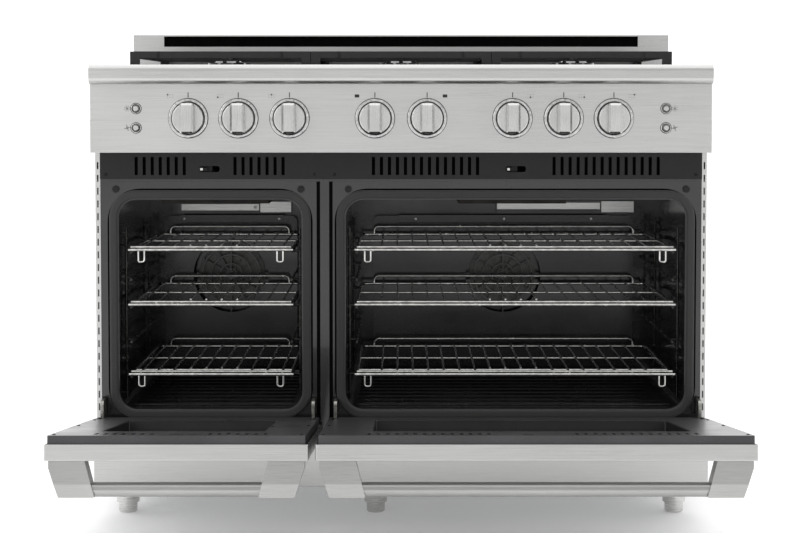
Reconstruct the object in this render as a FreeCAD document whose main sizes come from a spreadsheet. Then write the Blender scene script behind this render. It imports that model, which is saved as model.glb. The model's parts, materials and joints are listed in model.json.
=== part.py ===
import FreeCAD, Part
import math
import os
import re
import Sketcher

# Freestanding gas range: a narrow and a wide oven side by side under six burners.
# +X runs to the right, +Y to the back and +Z up. Sizes along Y count from the ovens' front face;
# every finished piece is then moved so that the origin is under the middle of the whole box.
# The oven doors are modelled shut and then swung down to their open stop.

os.makedirs("parts", exist_ok=True)
doc = FreeCAD.newDocument("GasRange")
vector = FreeCAD.Vector

sizes = {
    # casing
    "bodyWidth": 1216,
    "bodyDepth": 622,
    "worktop": 914,
    "casingTop": 876,
    "casingBottom": 80,
    "ovenSplit": -152,
    "sheetThick": 1.5,
    "fitGap": 0.5,
    "flangeWidth": 10,
    "rearFlange": 18,
    "flangeSlotWidth": 3,
    "flangeSlotHeight": 14,
    "flangeSlotPitch": 25.4,
    "flangeSlotCount": 20,
    "flangeSlotStart": 232,
    "panHeight": 18,
    "louvreWidth": 120,
    "louvreHeight": 7,
    "louvrePitch": 150,
    "louvreCount": 7,
    "louvreLow": 330,
    "louvreHigh": 780,
    # feet
    "footRadius": 19,
    "footHeight": 42,
    "footEdge": 2,
    "sleeveBottom": 21,
    "sleeveRadius": 23.5,
    "sleeveWall": 2.5,
    "studRadius": 6,
    "nutRadius": 11,
    "nutThick": 8,
    "footInset": 47,
    "middleFoot": -52,
    "footFront": 100,
    "footRearInset": 62,
    # kick panel
    "kickFront": -45,
    "kickGap": 2,
    "panelEdge": 2,
    # doors, given shut; the hinge's sizes count from its axis
    "hingeY": -32,
    "hingeZ": 190.4,
    "hingeFront": 18,
    "hingeBack": 25,
    "hingeDrop": 15,
    "doorTopGap": 4,
    "doorGap": 12,
    "doorOpenAngle": 83.6,
    "doorEdge": 3,
    "linerDepth": 15,
    "linerInset": 4.7,
    "linerWall": 1.2,
    "windowMarginLeft": 81.5,
    "windowMarginRight": 96,
    "windowRise": 120,
    "windowDrop": 118,
    "windowCorner": 8,
    "windowWall": 2,
    "glassThick": 4,
    "glassLap": 12,
    # hinges
    "hingeInset": 19,
    "armThick": 6,
    "armHub": 9,
    "armWidth": 14,
    "armLow": 30,
    "armHigh": 60,
    "armBend": 9,
    "pinRadius": 4,
    "pinGap": 0.05,
    "cheekThick": 2,
    "cheekGap": 3,
    "cheekBack": 9,
    "cheekHigh": 110,
    "armSlotGap": 2,
    "receiverDepth": 30,
    "receiverWall": 1.5,
    # handles
    "barRadius": 12.5,
    "barStandoff": 50,
    "handleDrop": 26,
    "bracketWidth": 62,
    "bracketHalf": 18,
    "bracketTip": 14,
    "bracketInset": 6.5,
    "bracketSlant": 17,
    "bracketBase": 12,
    "bracketFold": 40,
    "bracketReach": 63,
    # oven cavities and their face
    "cavityMarginLeft": 46,
    "cavityMarginRight": 42,
    "cavityFloor": 228,
    "cavityTop": 647,
    "rearSpace": 122,
    "cavityCorner": 14,
    "openingCorner": 36,
    "plateBottom": 206,
    "plateTop": 683,
    "plateOuterGap": 9.5,
    "plateInnerGap": 16,
    "mullionHalf": 9,
    "gasketBand": 17,
    "gasketLap": 1.5,
    "gasketDepth": 6.5,
    "gasketRound": 5,
    "bumperRadius": 6.5,
    "bumperDepth": 5,
    "bumperInset": 41,
    "bumperDrop": 15,
    # vent trim and door latches
    "trimBottom": 688,
    "trimDepth": 3.5,
    "ventSlotWidth": 6.4,
    "ventSlotHeight": 36,
    "ventSlotPitch": 15.9,
    "ventDrop": 28,
    "doorVentDrop": 49,
    "ventStartLeft": 50.4,
    "ventStartRight": 76,
    "ventCountLeft": 7,
    "ventCountRight": 14,
    "latchSlotHalf": 20,
    "latchSlotHigh": 6,
    "latchSlotRound": 5,
    "latchDrop": 34,
    "latchBar": 8,
    "latchTip": 14,
    "latchThick": 2.5,
    "latchReach": 7,
    "latchTipThick": 3,
    "latchGap": 2,
    "latchPlate": 4,
    # control panel and front rail
    "panelFront": -58,
    "panelBottom": 742,
    "railFront": -78,
    "railBack": 20,
    "railRound": 12,
    "railWall": 2,
    "knobZ": 809.5,
    "knobInner": 51,
    "knobInset": 390,
    "knobInsetMiddle": 290,
    "knobInsetOuter": 192,
    "knobRadius": 30.5,
    "knobSkirt": 13,
    "knobDepth": 36,
    "knobLift": 2.5,
    "knobEdge": 2,
    "gripWidth": 27,
    "gripInset": 1,
    "gripCorner": 5,
    "gripBevel": 4,
    "bezelGap": 2,
    "bezelWall": 6,
    "bezelDepth": 5,
    "bezelEdge": 1.5,
    "stemRadius": 4,
    "stemGap": 0.4,
    "stemHole": 7,
    "stemLength": 26,
    "valveFront": -45,
    "valveHalf": 13,
    "manifoldRadius": 10,
    "manifoldY": -10.5,
    "buttonInset": 90,
    "buttonHigh": 828.5,
    "buttonLow": 790.7,
    "buttonRadius": 5,
    "buttonGap": 0.6,
    "buttonProud": 5,
    "buttonStem": 8,
    "buttonEdge": 1,
    "buttonRingWall": 4.4,
    "buttonRingDepth": 2,
    "switchHalf": 8,
    "switchDepth": 20,
    "switchGap": 4,
    # cooktop
    "deckThick": 2,
    "trayMargin": 62,
    "trayFront": 30,
    "trayBackGap": 20,
    "trayDrop": 21,
    "trayRim": 3,
    "trayWall": 2,
    "trayCorner": 6,
    "grateMargin": 3.5,
    "grateRise": 28,
    "grateBar": 13,
    "grateWall": 12,
    "grateGap": 1,
    "grateFoot": 18,
    "grateFootLift": 0.2,
    "fingerWide": 9,
    "fingerClear": 26,
    "cornerClear": 52,
    "burnerBase": 52,
    "burnerBaseThick": 5,
    "burnerHead": 40,
    "burnerHeadTop": 36,
    "burnerHeadHeight": 22,
    "burnerCap": 37,
    "burnerCapTop": 30,
    "burnerCapThick": 7,
    "burnerBore": 22,
    "burnerBoreDepth": 14,
    # backguard
    "guardTop": 991,
    "guardDepth": 58,
    "guardEnd": 69.5,
    "flueDrop": 3.5,
    "flueHeight": 23.5,
    # racks and their guides
    "rackHigh": 546,
    "rackMiddle": 436,
    "rackLow": 296,
    "spareHigh": 491,
    "spareLow": 366,
    "rackSideGap": 17.5,
    "rackWireCountLeft": 10,
    "rackWireCountRight": 18,
    "rackNotchWires": 4,
    "rackWirePitch": 31.4,
    "rackFront": 8,
    "rackRearGap": 29,
    "rackRim": 3,
    "rackOverhang": 4.5,
    "rackRimBend": 14,
    "rackWire": 2,
    "rackWireLift": 4,
    "rackLip": 2.2,
    "rackLipRise": 5.6,
    "rackLipSet": 4,
    "crossFront": 72,
    "crossRearGap": 193,
    "crossWire": 2.5,
    "stopInset": 33,
    "stopRise": 17,
    "stopBend": 10,
    "glideInset": 26,
    "glideHalf": 6,
    "glideDrop": 24,
    "glideBend": 4,
    "guideWire": 2.5,
    "guideGap": 0.4,
    "guideLap": 4,
    "guideFront": 18,
    "guideRearGap": 15,
    "guidePostFront": 60,
    "guidePostRearGap": 60,
    "guideWallGap": 6,
    "guideFootRise": 12,
    "guideHeadRise": 40,
    # convection baffles and fans
    "baffleDepth": 30,
    "baffleMarginLeft": 34,
    "baffleMarginRight": 48,
    "baffleRise": 34,
    "baffleDrop": 62,
    "baffleWall": 2,
    "fanRadius": 84,
    "fanZ": 453,
    "fanWheel": 74,
    "fanHub": 14,
    "fanFrontGap": 7,
    "fanDepth": 16,
    "fanBlade": 1.5,
    "fanBladeCount": 12,
    "fanShaft": 4,
    "fanShaftHole": 6,
    "guardRing": 3,
    "guardPitch": 20,
    "guardRingCount": 4,
    "coverShiftLeft": 12,
    "coverShiftRight": 139.5,
    "coverHalfLeft": 123,
    "coverHalfRight": 153.5,
    "coverDrop": 28,
    "coverHeight": 28,
    "coverDepth": 24,
    "motorRadius": 32,
    "motorDepth": 60,
    "shaftGrip": 16,
    # gas and power
    "tubeRadius": 11,
    "tubeDrop": 32,
    "tubeInset": 70,
    "tubeBend": 40,
    "broilerHalf": 110,
    "broilerFront": 110,
    "broilerLength": 260,
    "broilerThick": 14,
    "feedRadius": 4,
    "feedShift": 12,
    "feedBend": 15,
    "inletX": 500,
    "inletZ": 150,
    "inletRadius": 10.67,
    "inletLength": 22,
    "inletOpening": 40,
    "regulatorHalf": 28,
    "regulatorBack": 25,
    "supplyRadius": 8,
    "supplyBend": 25,
    "powerX": -500,
    "powerHalf": 24,
    "powerDepth": 34,
    "powerRecess": 12,
}

sheet = doc.addObject("Spreadsheet::Sheet", "Sizes")
for row, (name, size) in enumerate(sizes.items(), 1):
    sheet.set(f"A{row}", name)
    sheet.set(f"B{row}", str(size))
    sheet.setAlias(f"B{row}", name)
doc.recompute()

pieces = []

# places worked out from the sheet
halfBody = "bodyWidth / 2"
doorFront = "(hingeY - hingeFront)"
doorBack = "(hingeY + hingeBack)"
doorBottom = "(hingeZ - hingeDrop)"
doorTop = "(panelBottom - doorTopGap)"
linerFront = f"({doorBack} - linerDepth)"
windowBottom = f"({doorBottom} + windowRise)"
windowTop = f"({doorTop} - windowDrop)"
kickTop = "(hingeZ - sqrt(hingeFront * hingeFront + hingeDrop * hingeDrop) - kickGap)"
handleZ = f"({doorTop} - handleDrop)"
deckBack = "(bodyDepth - guardDepth)"
trayBack = f"({deckBack} - trayBackGap)"
trayFloor = "(worktop - trayDrop)"
grateTop = "(worktop + grateRise)"
grateHalf = "(bodyWidth / 2 - trayMargin - grateMargin)"
grateFront = "(trayFront + grateMargin)"
grateBack = f"({trayBack} - grateMargin)"
gratePitch = f"({grateHalf} * 2 / 3)"
cellDepth = f"(({grateBack} - {grateFront}) / 2)"
cavityBack = "(bodyDepth - rearSpace)"
baffleFront = f"({cavityBack} - baffleDepth)"
rackRear = f"({baffleFront} - rackRearGap)"
guidePostRear = f"({baffleFront} - guidePostRearGap)"
openReach = ("(doorEdge - hingeY + (hingeFront - doorEdge) * cos(doorOpenAngle)"
             f" + ({doorTop} - hingeZ - doorEdge) * sin(doorOpenAngle))")
middleY = f"((bodyDepth - {openReach}) / 2)"

ovens = {
    "left": {"centre": "((ovenSplit - bodyWidth / 2) / 2)", "half": "((ovenSplit + bodyWidth / 2) / 2)",
             "door": ("-bodyWidth / 2", "ovenSplit - doorGap / 2"),
             "plate": ("flangeWidth + plateOuterGap - bodyWidth / 2", "ovenSplit - plateInnerGap")},
    "right": {"centre": "((ovenSplit + bodyWidth / 2) / 2)", "half": "((bodyWidth / 2 - ovenSplit) / 2)",
              "door": ("ovenSplit + doorGap / 2", "bodyWidth / 2"),
              "plate": ("ovenSplit + plateInnerGap", "bodyWidth / 2 - flangeWidth - plateOuterGap")},
}
for side, oven in ovens.items():
    hand = side.capitalize()
    doorLow, doorHigh = oven["door"]
    oven["cavity"] = f"({oven['half']} - cavityMargin{hand})"
    oven["rack"] = f"({oven['cavity']} - rackSideGap)"
    oven["baffle"] = f"({oven['cavity']} - baffleMargin{hand})"
    oven["window"] = (f"{doorLow} + windowMargin{hand}", f"{doorHigh} - windowMargin{hand}")
    oven["arms"] = (f"({doorLow} + hingeInset - armThick / 2)", f"({doorHigh} - hingeInset + armThick / 2)")
    oven["ventStart"] = f"ventStart{hand}"
    oven["ventCount"] = f"ventCount{hand}"
    oven["wires"] = f"rackWireCount{hand}"
    oven["cover"] = (f"{oven['centre']} + coverShift{hand} - coverHalf{hand}",
                     f"{oven['centre']} + coverShift{hand} + coverHalf{hand}")

knobPlaces = {
    "rear_left_burner": "knobInsetOuter - bodyWidth / 2",
    "front_left_burner": "knobInsetMiddle - bodyWidth / 2",
    "rear_centre_burner": "knobInset - bodyWidth / 2",
    "left_oven": "-knobInner",
    "right_oven": "knobInner",
    "front_centre_burner": "bodyWidth / 2 - knobInset",
    "front_right_burner": "bodyWidth / 2 - knobInsetMiddle",
    "rear_right_burner": "bodyWidth / 2 - knobInsetOuter",
}
buttonPlaces = {
    "left_lamp": ("buttonInset - bodyWidth / 2", "buttonHigh"),
    "left_fan": ("buttonInset - bodyWidth / 2", "buttonLow"),
    "right_lamp": ("bodyWidth / 2 - buttonInset", "buttonHigh"),
    "right_fan": ("bodyWidth / 2 - buttonInset", "buttonLow"),
}
burnerPlaces = [(f"{column} * {gratePitch}", f"{grateFront} + {row} * {cellDepth}")
                for column in (-1, 0, 1) for row in (0.5, 1.5)]
footPlaces = [(x, y) for x in ("footInset - bodyWidth / 2", "middleFoot", "bodyWidth / 2 - footInset")
              for y in ("footFront", "bodyDepth - footRearInset")]


def formula(text):
    """Turn a sum of named sizes into an expression that reads the sheet."""
    return re.sub(r"[A-Za-z]\w*", lambda word: f"Sizes.{word[0]}" if word[0] in sizes else word[0], str(text))


def number(text):
    return float(sheet.evalExpression(formula(text)))


def about(centre, half):
    """The span from half below a centre to half above it."""
    return f"({centre}) - ({half})", f"({centre}) + ({half})"


def box(spanX, spanY, spanZ):
    item = doc.addObject("Part::Box", "Block")
    for size, axis, (low, high) in zip(("Length", "Width", "Height"), "xyz", (spanX, spanY, spanZ)):
        item.setExpression(size, formula(f"({high}) - ({low})"))
        item.setExpression(f"Placement.Base.{axis}", formula(low))
    return item


turns = {
    "x": FreeCAD.Rotation(vector(0, 1, 0), 90),
    "y": FreeCAD.Rotation(vector(1, 0, 0), -90),
    "z": FreeCAD.Rotation(),
}


def stand(item, axis, low, centre):
    """Point a round primitive along x, y or z and put its foot at low on that axis."""
    item.Placement = FreeCAD.Placement(vector(), turns[axis])
    for name, text in {**centre, axis: low}.items():
        item.setExpression(f"Placement.Base.{name}", formula(text))
    return item


def rod(axis, radius, span, **centre):
    item = doc.addObject("Part::Cylinder", "Rod")
    item.setExpression("Radius", formula(radius))
    item.setExpression("Height", formula(f"({span[1]}) - ({span[0]})"))
    return stand(item, axis, span[0], centre)


def cone(axis, radiusLow, radiusHigh, span, **centre):
    item = doc.addObject("Part::Cone", "Taper")
    item.setExpression("Radius1", formula(radiusLow))
    item.setExpression("Radius2", formula(radiusHigh))
    item.setExpression("Height", formula(f"({span[1]}) - ({span[0]})"))
    return stand(item, axis, span[0], centre)


def fuse(*items):
    if len(items) == 1:
        return items[0]
    joined = doc.addObject("Part::MultiFuse", "Joined")
    joined.Shapes = list(items)
    joined.Refine = True
    return joined


def cut(base, *tools):
    item = doc.addObject("Part::Cut", "Cut")
    item.Base = base
    item.Tool = fuse(*tools)
    item.Refine = True
    return item


def ring(axis, outer, inner, span, **centre):
    return cut(rod(axis, outer, span, **centre), rod(axis, inner, span, **centre))


def group(*items):
    """Several separate solids in one piece's node."""
    item = doc.addObject("Part::Compound", "Group")
    item.Links = list(items)
    return item


def bentWire(corners, radius, bend):
    """A round wire through corner points, with an arc of the bend's radius at each corner."""
    points = [vector(*(number(text) for text in corner)) for corner in corners]
    bendRadius = number(bend)
    edges = []
    start = points[0]
    for before, corner, after in zip(points, points[1:], points[2:]):
        back = (before - corner).normalize()
        ahead = (after - corner).normalize()
        turn = math.pi - back.getAngle(ahead)
        reach = bendRadius * math.tan(turn / 2)
        middle = corner + (back + ahead).normalize() * (bendRadius / math.cos(turn / 2) - bendRadius)
        edges.append(Part.LineSegment(start, corner + back * reach).toShape())
        start = corner + ahead * reach
        edges.append(Part.Arc(corner + back * reach, middle, start).toShape())
    edges.append(Part.LineSegment(start, points[-1]).toShape())
    section = Part.Wire(Part.Circle(points[0], points[1] - points[0], number(radius)).toShape())
    item = doc.addObject("Part::Feature", "BentWire")
    item.Shape = Part.Wire(edges).makePipeShell([section], True, False)
    return item


def fix(sketch, kind, geometry, point, text):
    """Hold one coordinate of a sketch point at a sum of named sizes."""
    index = sketch.addConstraint(Sketcher.Constraint(kind, -1, 1, geometry, point, number(text)))
    sketch.setExpression(f"Constraints[{index}]", formula(text))


def drawCircle(sketch, x, y, radius):
    circle = sketch.addGeometry(Part.Circle(vector(number(x), number(y), 0), vector(0, 0, 1), number(radius)))
    index = sketch.addConstraint(Sketcher.Constraint("Radius", circle, number(radius)))
    sketch.setExpression(f"Constraints[{index}]", formula(radius))
    fix(sketch, "DistanceX", circle, 3, x)
    fix(sketch, "DistanceY", circle, 3, y)


def cornerArc(before, corner, after, radius):
    """Where an arc of this radius meets the lines into and out of a corner, and its centre."""
    back = (before - corner).normalize()
    ahead = (after - corner).normalize()
    half = back.getAngle(ahead) / 2
    reach = radius / math.tan(half)
    centre = corner + (back + ahead).normalize() * (radius / math.sin(half))
    return corner + back * reach, corner + ahead * reach, centre


def drawOutline(sketch, corners):
    """A closed outline through (x, y) corners, or (x, y, radius) where a corner is round."""
    spots = [vector(number(corner[0]), number(corner[1]), 0) for corner in corners]
    count = len(corners)
    arcs = {}
    for index, corner in enumerate(corners):
        if len(corner) == 3:
            around = spots[index - 1], spots[index], spots[(index + 1) % count]
            arcs[index] = cornerArc(*around, number(corner[2]))
    lines = []
    for index, spot in enumerate(spots):
        after = (index + 1) % count
        start = arcs[index][1] if index in arcs else spot
        end = arcs[after][0] if after in arcs else spots[after]
        lines.append(sketch.addGeometry(Part.LineSegment(start, end)))
    for index, corner in enumerate(corners):
        into, out = lines[index - 1], lines[index]
        if index not in arcs:
            sketch.addConstraint(Sketcher.Constraint("Coincident", into, 2, out, 1))
            fix(sketch, "DistanceX", out, 1, corner[0])
            fix(sketch, "DistanceY", out, 1, corner[1])
            continue
        arrive, leave, centre = arcs[index]
        first, last = arrive - centre, leave - centre
        leftTurn = first.cross(last).z > 0
        ends = (1, 2) if leftTurn else (2, 1)
        angles = [math.atan2(reach.y, reach.x) for reach in (first, last)]
        circle = Part.Circle(centre, vector(0, 0, 1), first.Length)
        arc = sketch.addGeometry(Part.ArcOfCircle(circle, *(angles if leftTurn else reversed(angles))))
        apex = sketch.addGeometry(Part.Point(spots[index]), True)
        sketch.addConstraint(Sketcher.Constraint("Tangent", into, 2, arc, ends[0]))
        sketch.addConstraint(Sketcher.Constraint("Tangent", arc, ends[1], out, 1))
        sketch.addConstraint(Sketcher.Constraint("PointOnObject", apex, 1, into))
        sketch.addConstraint(Sketcher.Constraint("PointOnObject", apex, 1, out))
        size = sketch.addConstraint(Sketcher.Constraint("Radius", arc, number(corner[2])))
        sketch.setExpression(f"Constraints[{size}]", formula(corner[2]))
        fix(sketch, "DistanceX", apex, 1, corner[0])
        fix(sketch, "DistanceY", apex, 1, corner[1])


views = {"top": ("XY_Plane", 1), "front": ("XZ_Plane", -1), "side": ("YZ_Plane", 1)}


def drawOn(body, view, level, loops):
    """A sketch at a level of the view's own axis; a loop is corners or a circle's (x, y, radius)."""
    role, sign = views[view]
    sketch = body.newObject("Sketcher::SketchObject", "Outline")
    sketch.AttachmentSupport = [(next(item for item in body.Origin.OriginFeatures if item.Role == role), "")]
    sketch.MapMode = "FlatFace"
    sketch.setExpression("AttachmentOffset.Base.z", formula(f"{sign} * ({level})"))
    for loop in loops:
        if isinstance(loop, tuple):
            drawCircle(sketch, *loop)
        else:
            drawOutline(sketch, loop)
    return sketch


def extrude(view, span, *loops):
    """A body padded from a sketch, filling the span along the view's axis."""
    body = doc.addObject("PartDesign::Body", "Body")
    return addPad(body, view, span, *loops)


def addPad(body, view, span, *loops):
    low, high = span
    sketch = drawOn(body, view, high if view == "front" else low, loops)
    pad = body.newObject("PartDesign::Pad", "Pad")
    pad.Profile = sketch
    pad.setExpression("Length", formula(f"({high}) - ({low})"))
    body.Tip = pad
    doc.recompute()
    return body


def carve(body, view, span, *loops):
    """Pocket the loops out of a body over the span; the volume has to drop."""
    low, high = span
    before = body.Shape.Volume
    sketch = drawOn(body, view, low if view == "front" else high, loops)
    pocket = body.newObject("PartDesign::Pocket", "Pocket")
    pocket.Profile = sketch
    pocket.setExpression("Length", formula(f"({high}) - ({low})"))
    body.Tip = pocket
    doc.recompute()
    if body.Shape.Volume >= before:
        raise ValueError(f"{sketch.Name} cuts nothing")
    return body


def repeat(body, axis, pitch, count):
    """Repeat a body's last pad or pocket along its sketch's H or V axis."""
    feature = body.Tip
    pattern = body.newObject("PartDesign::LinearPattern", "Row")
    pattern.Originals = [feature]
    pattern.Direction = (feature.Profile[0], [f"{axis}_Axis"])
    pattern.setExpression("Length", formula(f"{pitch} * ({count} - 1)"))
    pattern.setExpression("Occurrences", formula(count))
    body.Tip = pattern
    doc.recompute()
    return body


def soften(body, kind, size, test):
    """Fillet or chamfer the edges of a body whose two ends pass a test."""
    base = body.Tip
    names = [f"Edge{index}" for index, edge in enumerate(base.Shape.Edges, 1)
             if all(test(vertex.Point) for vertex in edge.Vertexes)]
    feature = body.newObject(f"PartDesign::{kind}", kind)
    feature.Base = (base, names)
    feature.setExpression("Radius" if kind == "Fillet" else "Size", formula(size))
    body.Tip = feature
    doc.recompute()
    return body


def near(value, text):
    return abs(value - number(text)) < 0.01


def rectangle(spanX, spanY, *radius):
    """The corners of a rectangle, each rounded if a radius is given."""
    (left, right), (low, high) = spanX, spanY
    return [(left, low, *radius), (right, low, *radius), (right, high, *radius), (left, high, *radius)]


def inset(span, amount):
    return f"{span[0]} + ({amount})", f"{span[1]} - ({amount})"


def keep(item, label, door=False, at=("0", "0", "0")):
    """Name a finished piece and move it to its place; a door's piece swings down with the door."""
    x, y, z = at
    if door:
        swing = FreeCAD.Rotation(vector(1, 0, 0), number("doorOpenAngle"))
        item.Placement = FreeCAD.Placement(vector(), swing)
        item.setExpression("Placement.Rotation.Angle", "Sizes.doorOpenAngle")
        y = f"{y} + hingeY - hingeY * cos(doorOpenAngle) + hingeZ * sin(doorOpenAngle)"
        z = f"{z} + hingeZ - hingeY * sin(doorOpenAngle) - hingeZ * cos(doorOpenAngle)"
    item.setExpression("Placement.Base.x", formula(x))
    item.setExpression("Placement.Base.y", formula(f"{y} - {middleY}"))
    item.setExpression("Placement.Base.z", formula(z))
    item.Label = label
    pieces.append(item)


def ventRows(body, oven, span, middle):
    """The two rows of upright vent slots beside an oven's middle."""
    row = f"ventSlotPitch * ({oven['ventCount']} - 1)"
    spanZ = about(middle, "ventSlotHeight / 2")
    starts = (f"{oven['centre']} - {oven['ventStart']} - {row}", f"{oven['centre']} + {oven['ventStart']}")
    for first in starts:
        carve(body, "front", span, rectangle(about(first, "ventSlotWidth / 2"), spanZ))
        repeat(body, "H", "ventSlotPitch", oven["ventCount"])


# casing
width = ("-bodyWidth / 2", "bodyWidth / 2")


def basePan():
    spanX = inset(width, "sheetThick")
    spanY = ("sheetThick", "bodyDepth - sheetThick * 2")
    rim = "casingBottom + panHeight"
    body = extrude("top", ("casingBottom", rim), rectangle(spanX, spanY))
    carve(body, "top", ("casingBottom + sheetThick", rim),
          rectangle(inset(spanX, "sheetThick"), inset(spanY, "sheetThick")))
    holes = [(x, y, "studRadius + fitGap") for x, y in footPlaces]
    carve(body, "top", ("casingBottom", "casingBottom + sheetThick"), *holes)
    keep(body, "base_pan")


def sidePanel(side, sign):
    def x(inward):
        return f"{sign} * (bodyWidth / 2 - ({inward}))"

    back = "bodyDepth - sheetThick"
    outline = [(x("0"), "0"), (x("flangeWidth"), "0"), (x("flangeWidth"), "sheetThick"),
               (x("sheetThick"), "sheetThick"), (x("sheetThick"), f"{back} - sheetThick"),
               (x("rearFlange"), f"{back} - sheetThick"), (x("rearFlange"), back), (x("0"), back)]
    body = extrude("top", ("casingBottom", "casingTop"), outline)
    slot = rectangle(about(x("flangeWidth / 2"), "flangeSlotWidth / 2"),
                     about("flangeSlotStart", "flangeSlotHeight / 2"))
    carve(body, "front", ("0", "sheetThick"), slot)
    repeat(body, "V", "flangeSlotPitch", "flangeSlotCount")
    keep(body, f"side_panel_{side}")


def rearPanel():
    span = ("bodyDepth - sheetThick", "bodyDepth")
    body = extrude("front", span, rectangle(width, ("casingBottom", "casingTop")))
    carve(body, "front", span,
          rectangle(about("inletX", "inletOpening"), about("inletZ", "inletOpening"), "panelEdge"),
          rectangle(about("powerX", "powerHalf"), about("inletZ", "powerHalf")))
    for level in ("louvreLow", "louvreHigh"):
        first = "-louvrePitch * (louvreCount - 1) / 2"
        carve(body, "front", span,
              rectangle(about(first, "louvreWidth / 2"), about(level, "louvreHeight / 2")))
        repeat(body, "H", "louvrePitch", "louvreCount")
    keep(body, "rear_panel")


def kickPanel():
    spanZ = ("casingBottom", kickTop)
    body = extrude("front", ("kickFront", "0"), rectangle(width, spanZ))
    carve(body, "front", ("kickFront + sheetThick", "0"),
          rectangle(inset(width, "sheetThick"), inset(spanZ, "sheetThick")))
    soften(body, "Fillet", "panelEdge / 2", lambda point: near(point.y, "kickFront"))
    keep(body, "kick_panel")


def levelingFeet():
    feet = []
    floor = "casingBottom + sheetThick"
    for x, y in footPlaces:
        foot = fuse(rod("z", "footRadius - footEdge", ("0", "footEdge"), x=x, y=y),
                    rod("z", "footRadius", ("footEdge", "footHeight"), x=x, y=y),
                    rod("z", "studRadius", ("footHeight", "casingBottom + panHeight"), x=x, y=y),
                    rod("z", "nutRadius", (floor, f"{floor} + nutThick"), x=x, y=y))
        sleeve = ring("z", "sleeveRadius", "sleeveRadius - sleeveWall",
                      ("sleeveBottom", "casingBottom"), x=x, y=y)
        feet += [foot, sleeve]
    keep(group(*feet), "leveling_feet")


def backguard():
    spanY = ("bodyDepth - guardDepth", "bodyDepth")
    body = extrude("top", ("casingTop", "guardTop"), rectangle(width, spanY))
    carve(body, "top", ("casingTop", "guardTop - sheetThick"),
          rectangle(inset(width, "sheetThick"), inset(spanY, "sheetThick")))
    # the flue's long slot faces the cook, just under the top
    slot = ("guardTop - flueDrop - flueHeight", "guardTop - flueDrop")
    carve(body, "front", (spanY[0], f"{spanY[0]} + sheetThick"), rectangle(inset(width, "guardEnd"), slot))
    soften(body, "Fillet", "panelEdge / 2",
           lambda point: near(point.z, "guardTop") and near(point.y, spanY[0]))
    keep(body, "backguard")


# control panel, front rail and vent trim
def controlPanel():
    spanZ = ("panelBottom", "casingTop")
    body = extrude("front", ("panelFront", "0"), rectangle(width, spanZ))
    carve(body, "front", ("panelFront + sheetThick", "0"),
          rectangle(inset(width, "sheetThick"), ("panelBottom + sheetThick", "casingTop")))
    stems = [(x, "knobZ", "stemHole") for x in knobPlaces.values()]
    buttons = [(x, z, "buttonRadius + buttonGap") for x, z in buttonPlaces.values()]
    carve(body, "front", ("panelFront", "panelFront + sheetThick"), *stems, *buttons)
    soften(body, "Fillet", "panelEdge / 2",
           lambda point: near(point.y, "panelFront") and near(point.z, "panelBottom"))
    keep(body, "control_panel")


def frontRail():
    outer = [("railFront", "casingTop", "railRound"), ("railBack", "casingTop"),
             ("railBack", "worktop"), ("railFront", "worktop", "railRound")]
    # the hollow is open at the back and closed at both ends
    behind = "railBack + 1"
    inner = [("railFront + railWall", "casingTop + railWall", "railRound - railWall"),
             (behind, "casingTop + railWall"), (behind, "worktop - railWall"),
             ("railFront + railWall", "worktop - railWall", "railRound - railWall")]
    body = extrude("side", width, outer)
    carve(body, "side", inset(width, "railWall"), inner)
    keep(body, "front_rail")


def ventTrim():
    span = ("-trimDepth", "0")
    body = extrude("front", span, rectangle(inset(width, "flangeWidth"), ("trimBottom", "panelBottom")))
    for oven in ovens.values():
        ventRows(body, oven, span, "panelBottom - ventDrop")
        carve(body, "front", span,
              rectangle(about(oven["centre"], "latchSlotHalf"),
                        about("panelBottom - latchDrop", "latchSlotHigh"), "latchSlotRound"))
    keep(body, "vent_trim")


def bezel(x, z, inner, wall, depth, edge):
    body = extrude("front", (f"panelFront - {depth}", "panelFront"),
                   (x, z, f"{inner} + {wall}"), (x, z, inner))
    return soften(body, "Fillet", edge, lambda point: near(point.y, f"panelFront - {depth}"))


def knobBezels():
    rings = [bezel(x, "knobZ", "(knobRadius + bezelGap)", "bezelWall", "bezelDepth", "bezelEdge")
             for x in knobPlaces.values()]
    rings += [bezel(x, z, "(buttonRadius + buttonGap)", "buttonRingWall", "buttonRingDepth", "buttonEdge")
              for x, z in buttonPlaces.values()]
    keep(group(*rings), "knob_bezels")


def knob(name, x):
    """A knob and its stem, built about its own axis with the panel's front at y = 0."""
    skirtFront = "-(knobLift + knobSkirt)"
    body = extrude("front", (skirtFront, "-knobLift"), ("0", "0", "knobRadius"))
    soften(body, "Fillet", "knobEdge", lambda point: near(point.y, skirtFront))
    grip = rectangle(about("0", "gripWidth / 2"), about("0", "knobRadius - gripInset"), "gripCorner")
    addPad(body, "front", ("-(knobLift + knobDepth)", skirtFront), grip)
    soften(body, "Chamfer", "gripBevel", lambda point: near(point.y, "-(knobLift + knobDepth)"))
    stem = rod("y", "stemRadius", ("-knobLift", "stemLength"))
    keep(group(body, stem), f"knob_{name}", at=(x, "panelFront", "knobZ"))


def button(name, x, z):
    body = extrude("front", ("-buttonProud", "buttonStem"), ("0", "0", "buttonRadius"))
    soften(body, "Fillet", "buttonEdge", lambda point: near(point.y, "-buttonProud"))
    keep(body, f"button_{name}", at=(x, "panelFront", z))


# cooktop
def cooktopDeck():
    spanY = ("railBack", deckBack)
    body = extrude("top", ("casingTop", "worktop"), rectangle(width, spanY))
    carve(body, "top", ("casingTop", "worktop - deckThick"),
          rectangle(inset(width, "sheetThick"), inset(spanY, "sheetThick")))
    carve(body, "top", ("worktop - deckThick", "worktop"),
          rectangle(inset(width, "trayMargin"), ("trayFront", trayBack), "trayCorner"))
    keep(body, "cooktop_deck")


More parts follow.
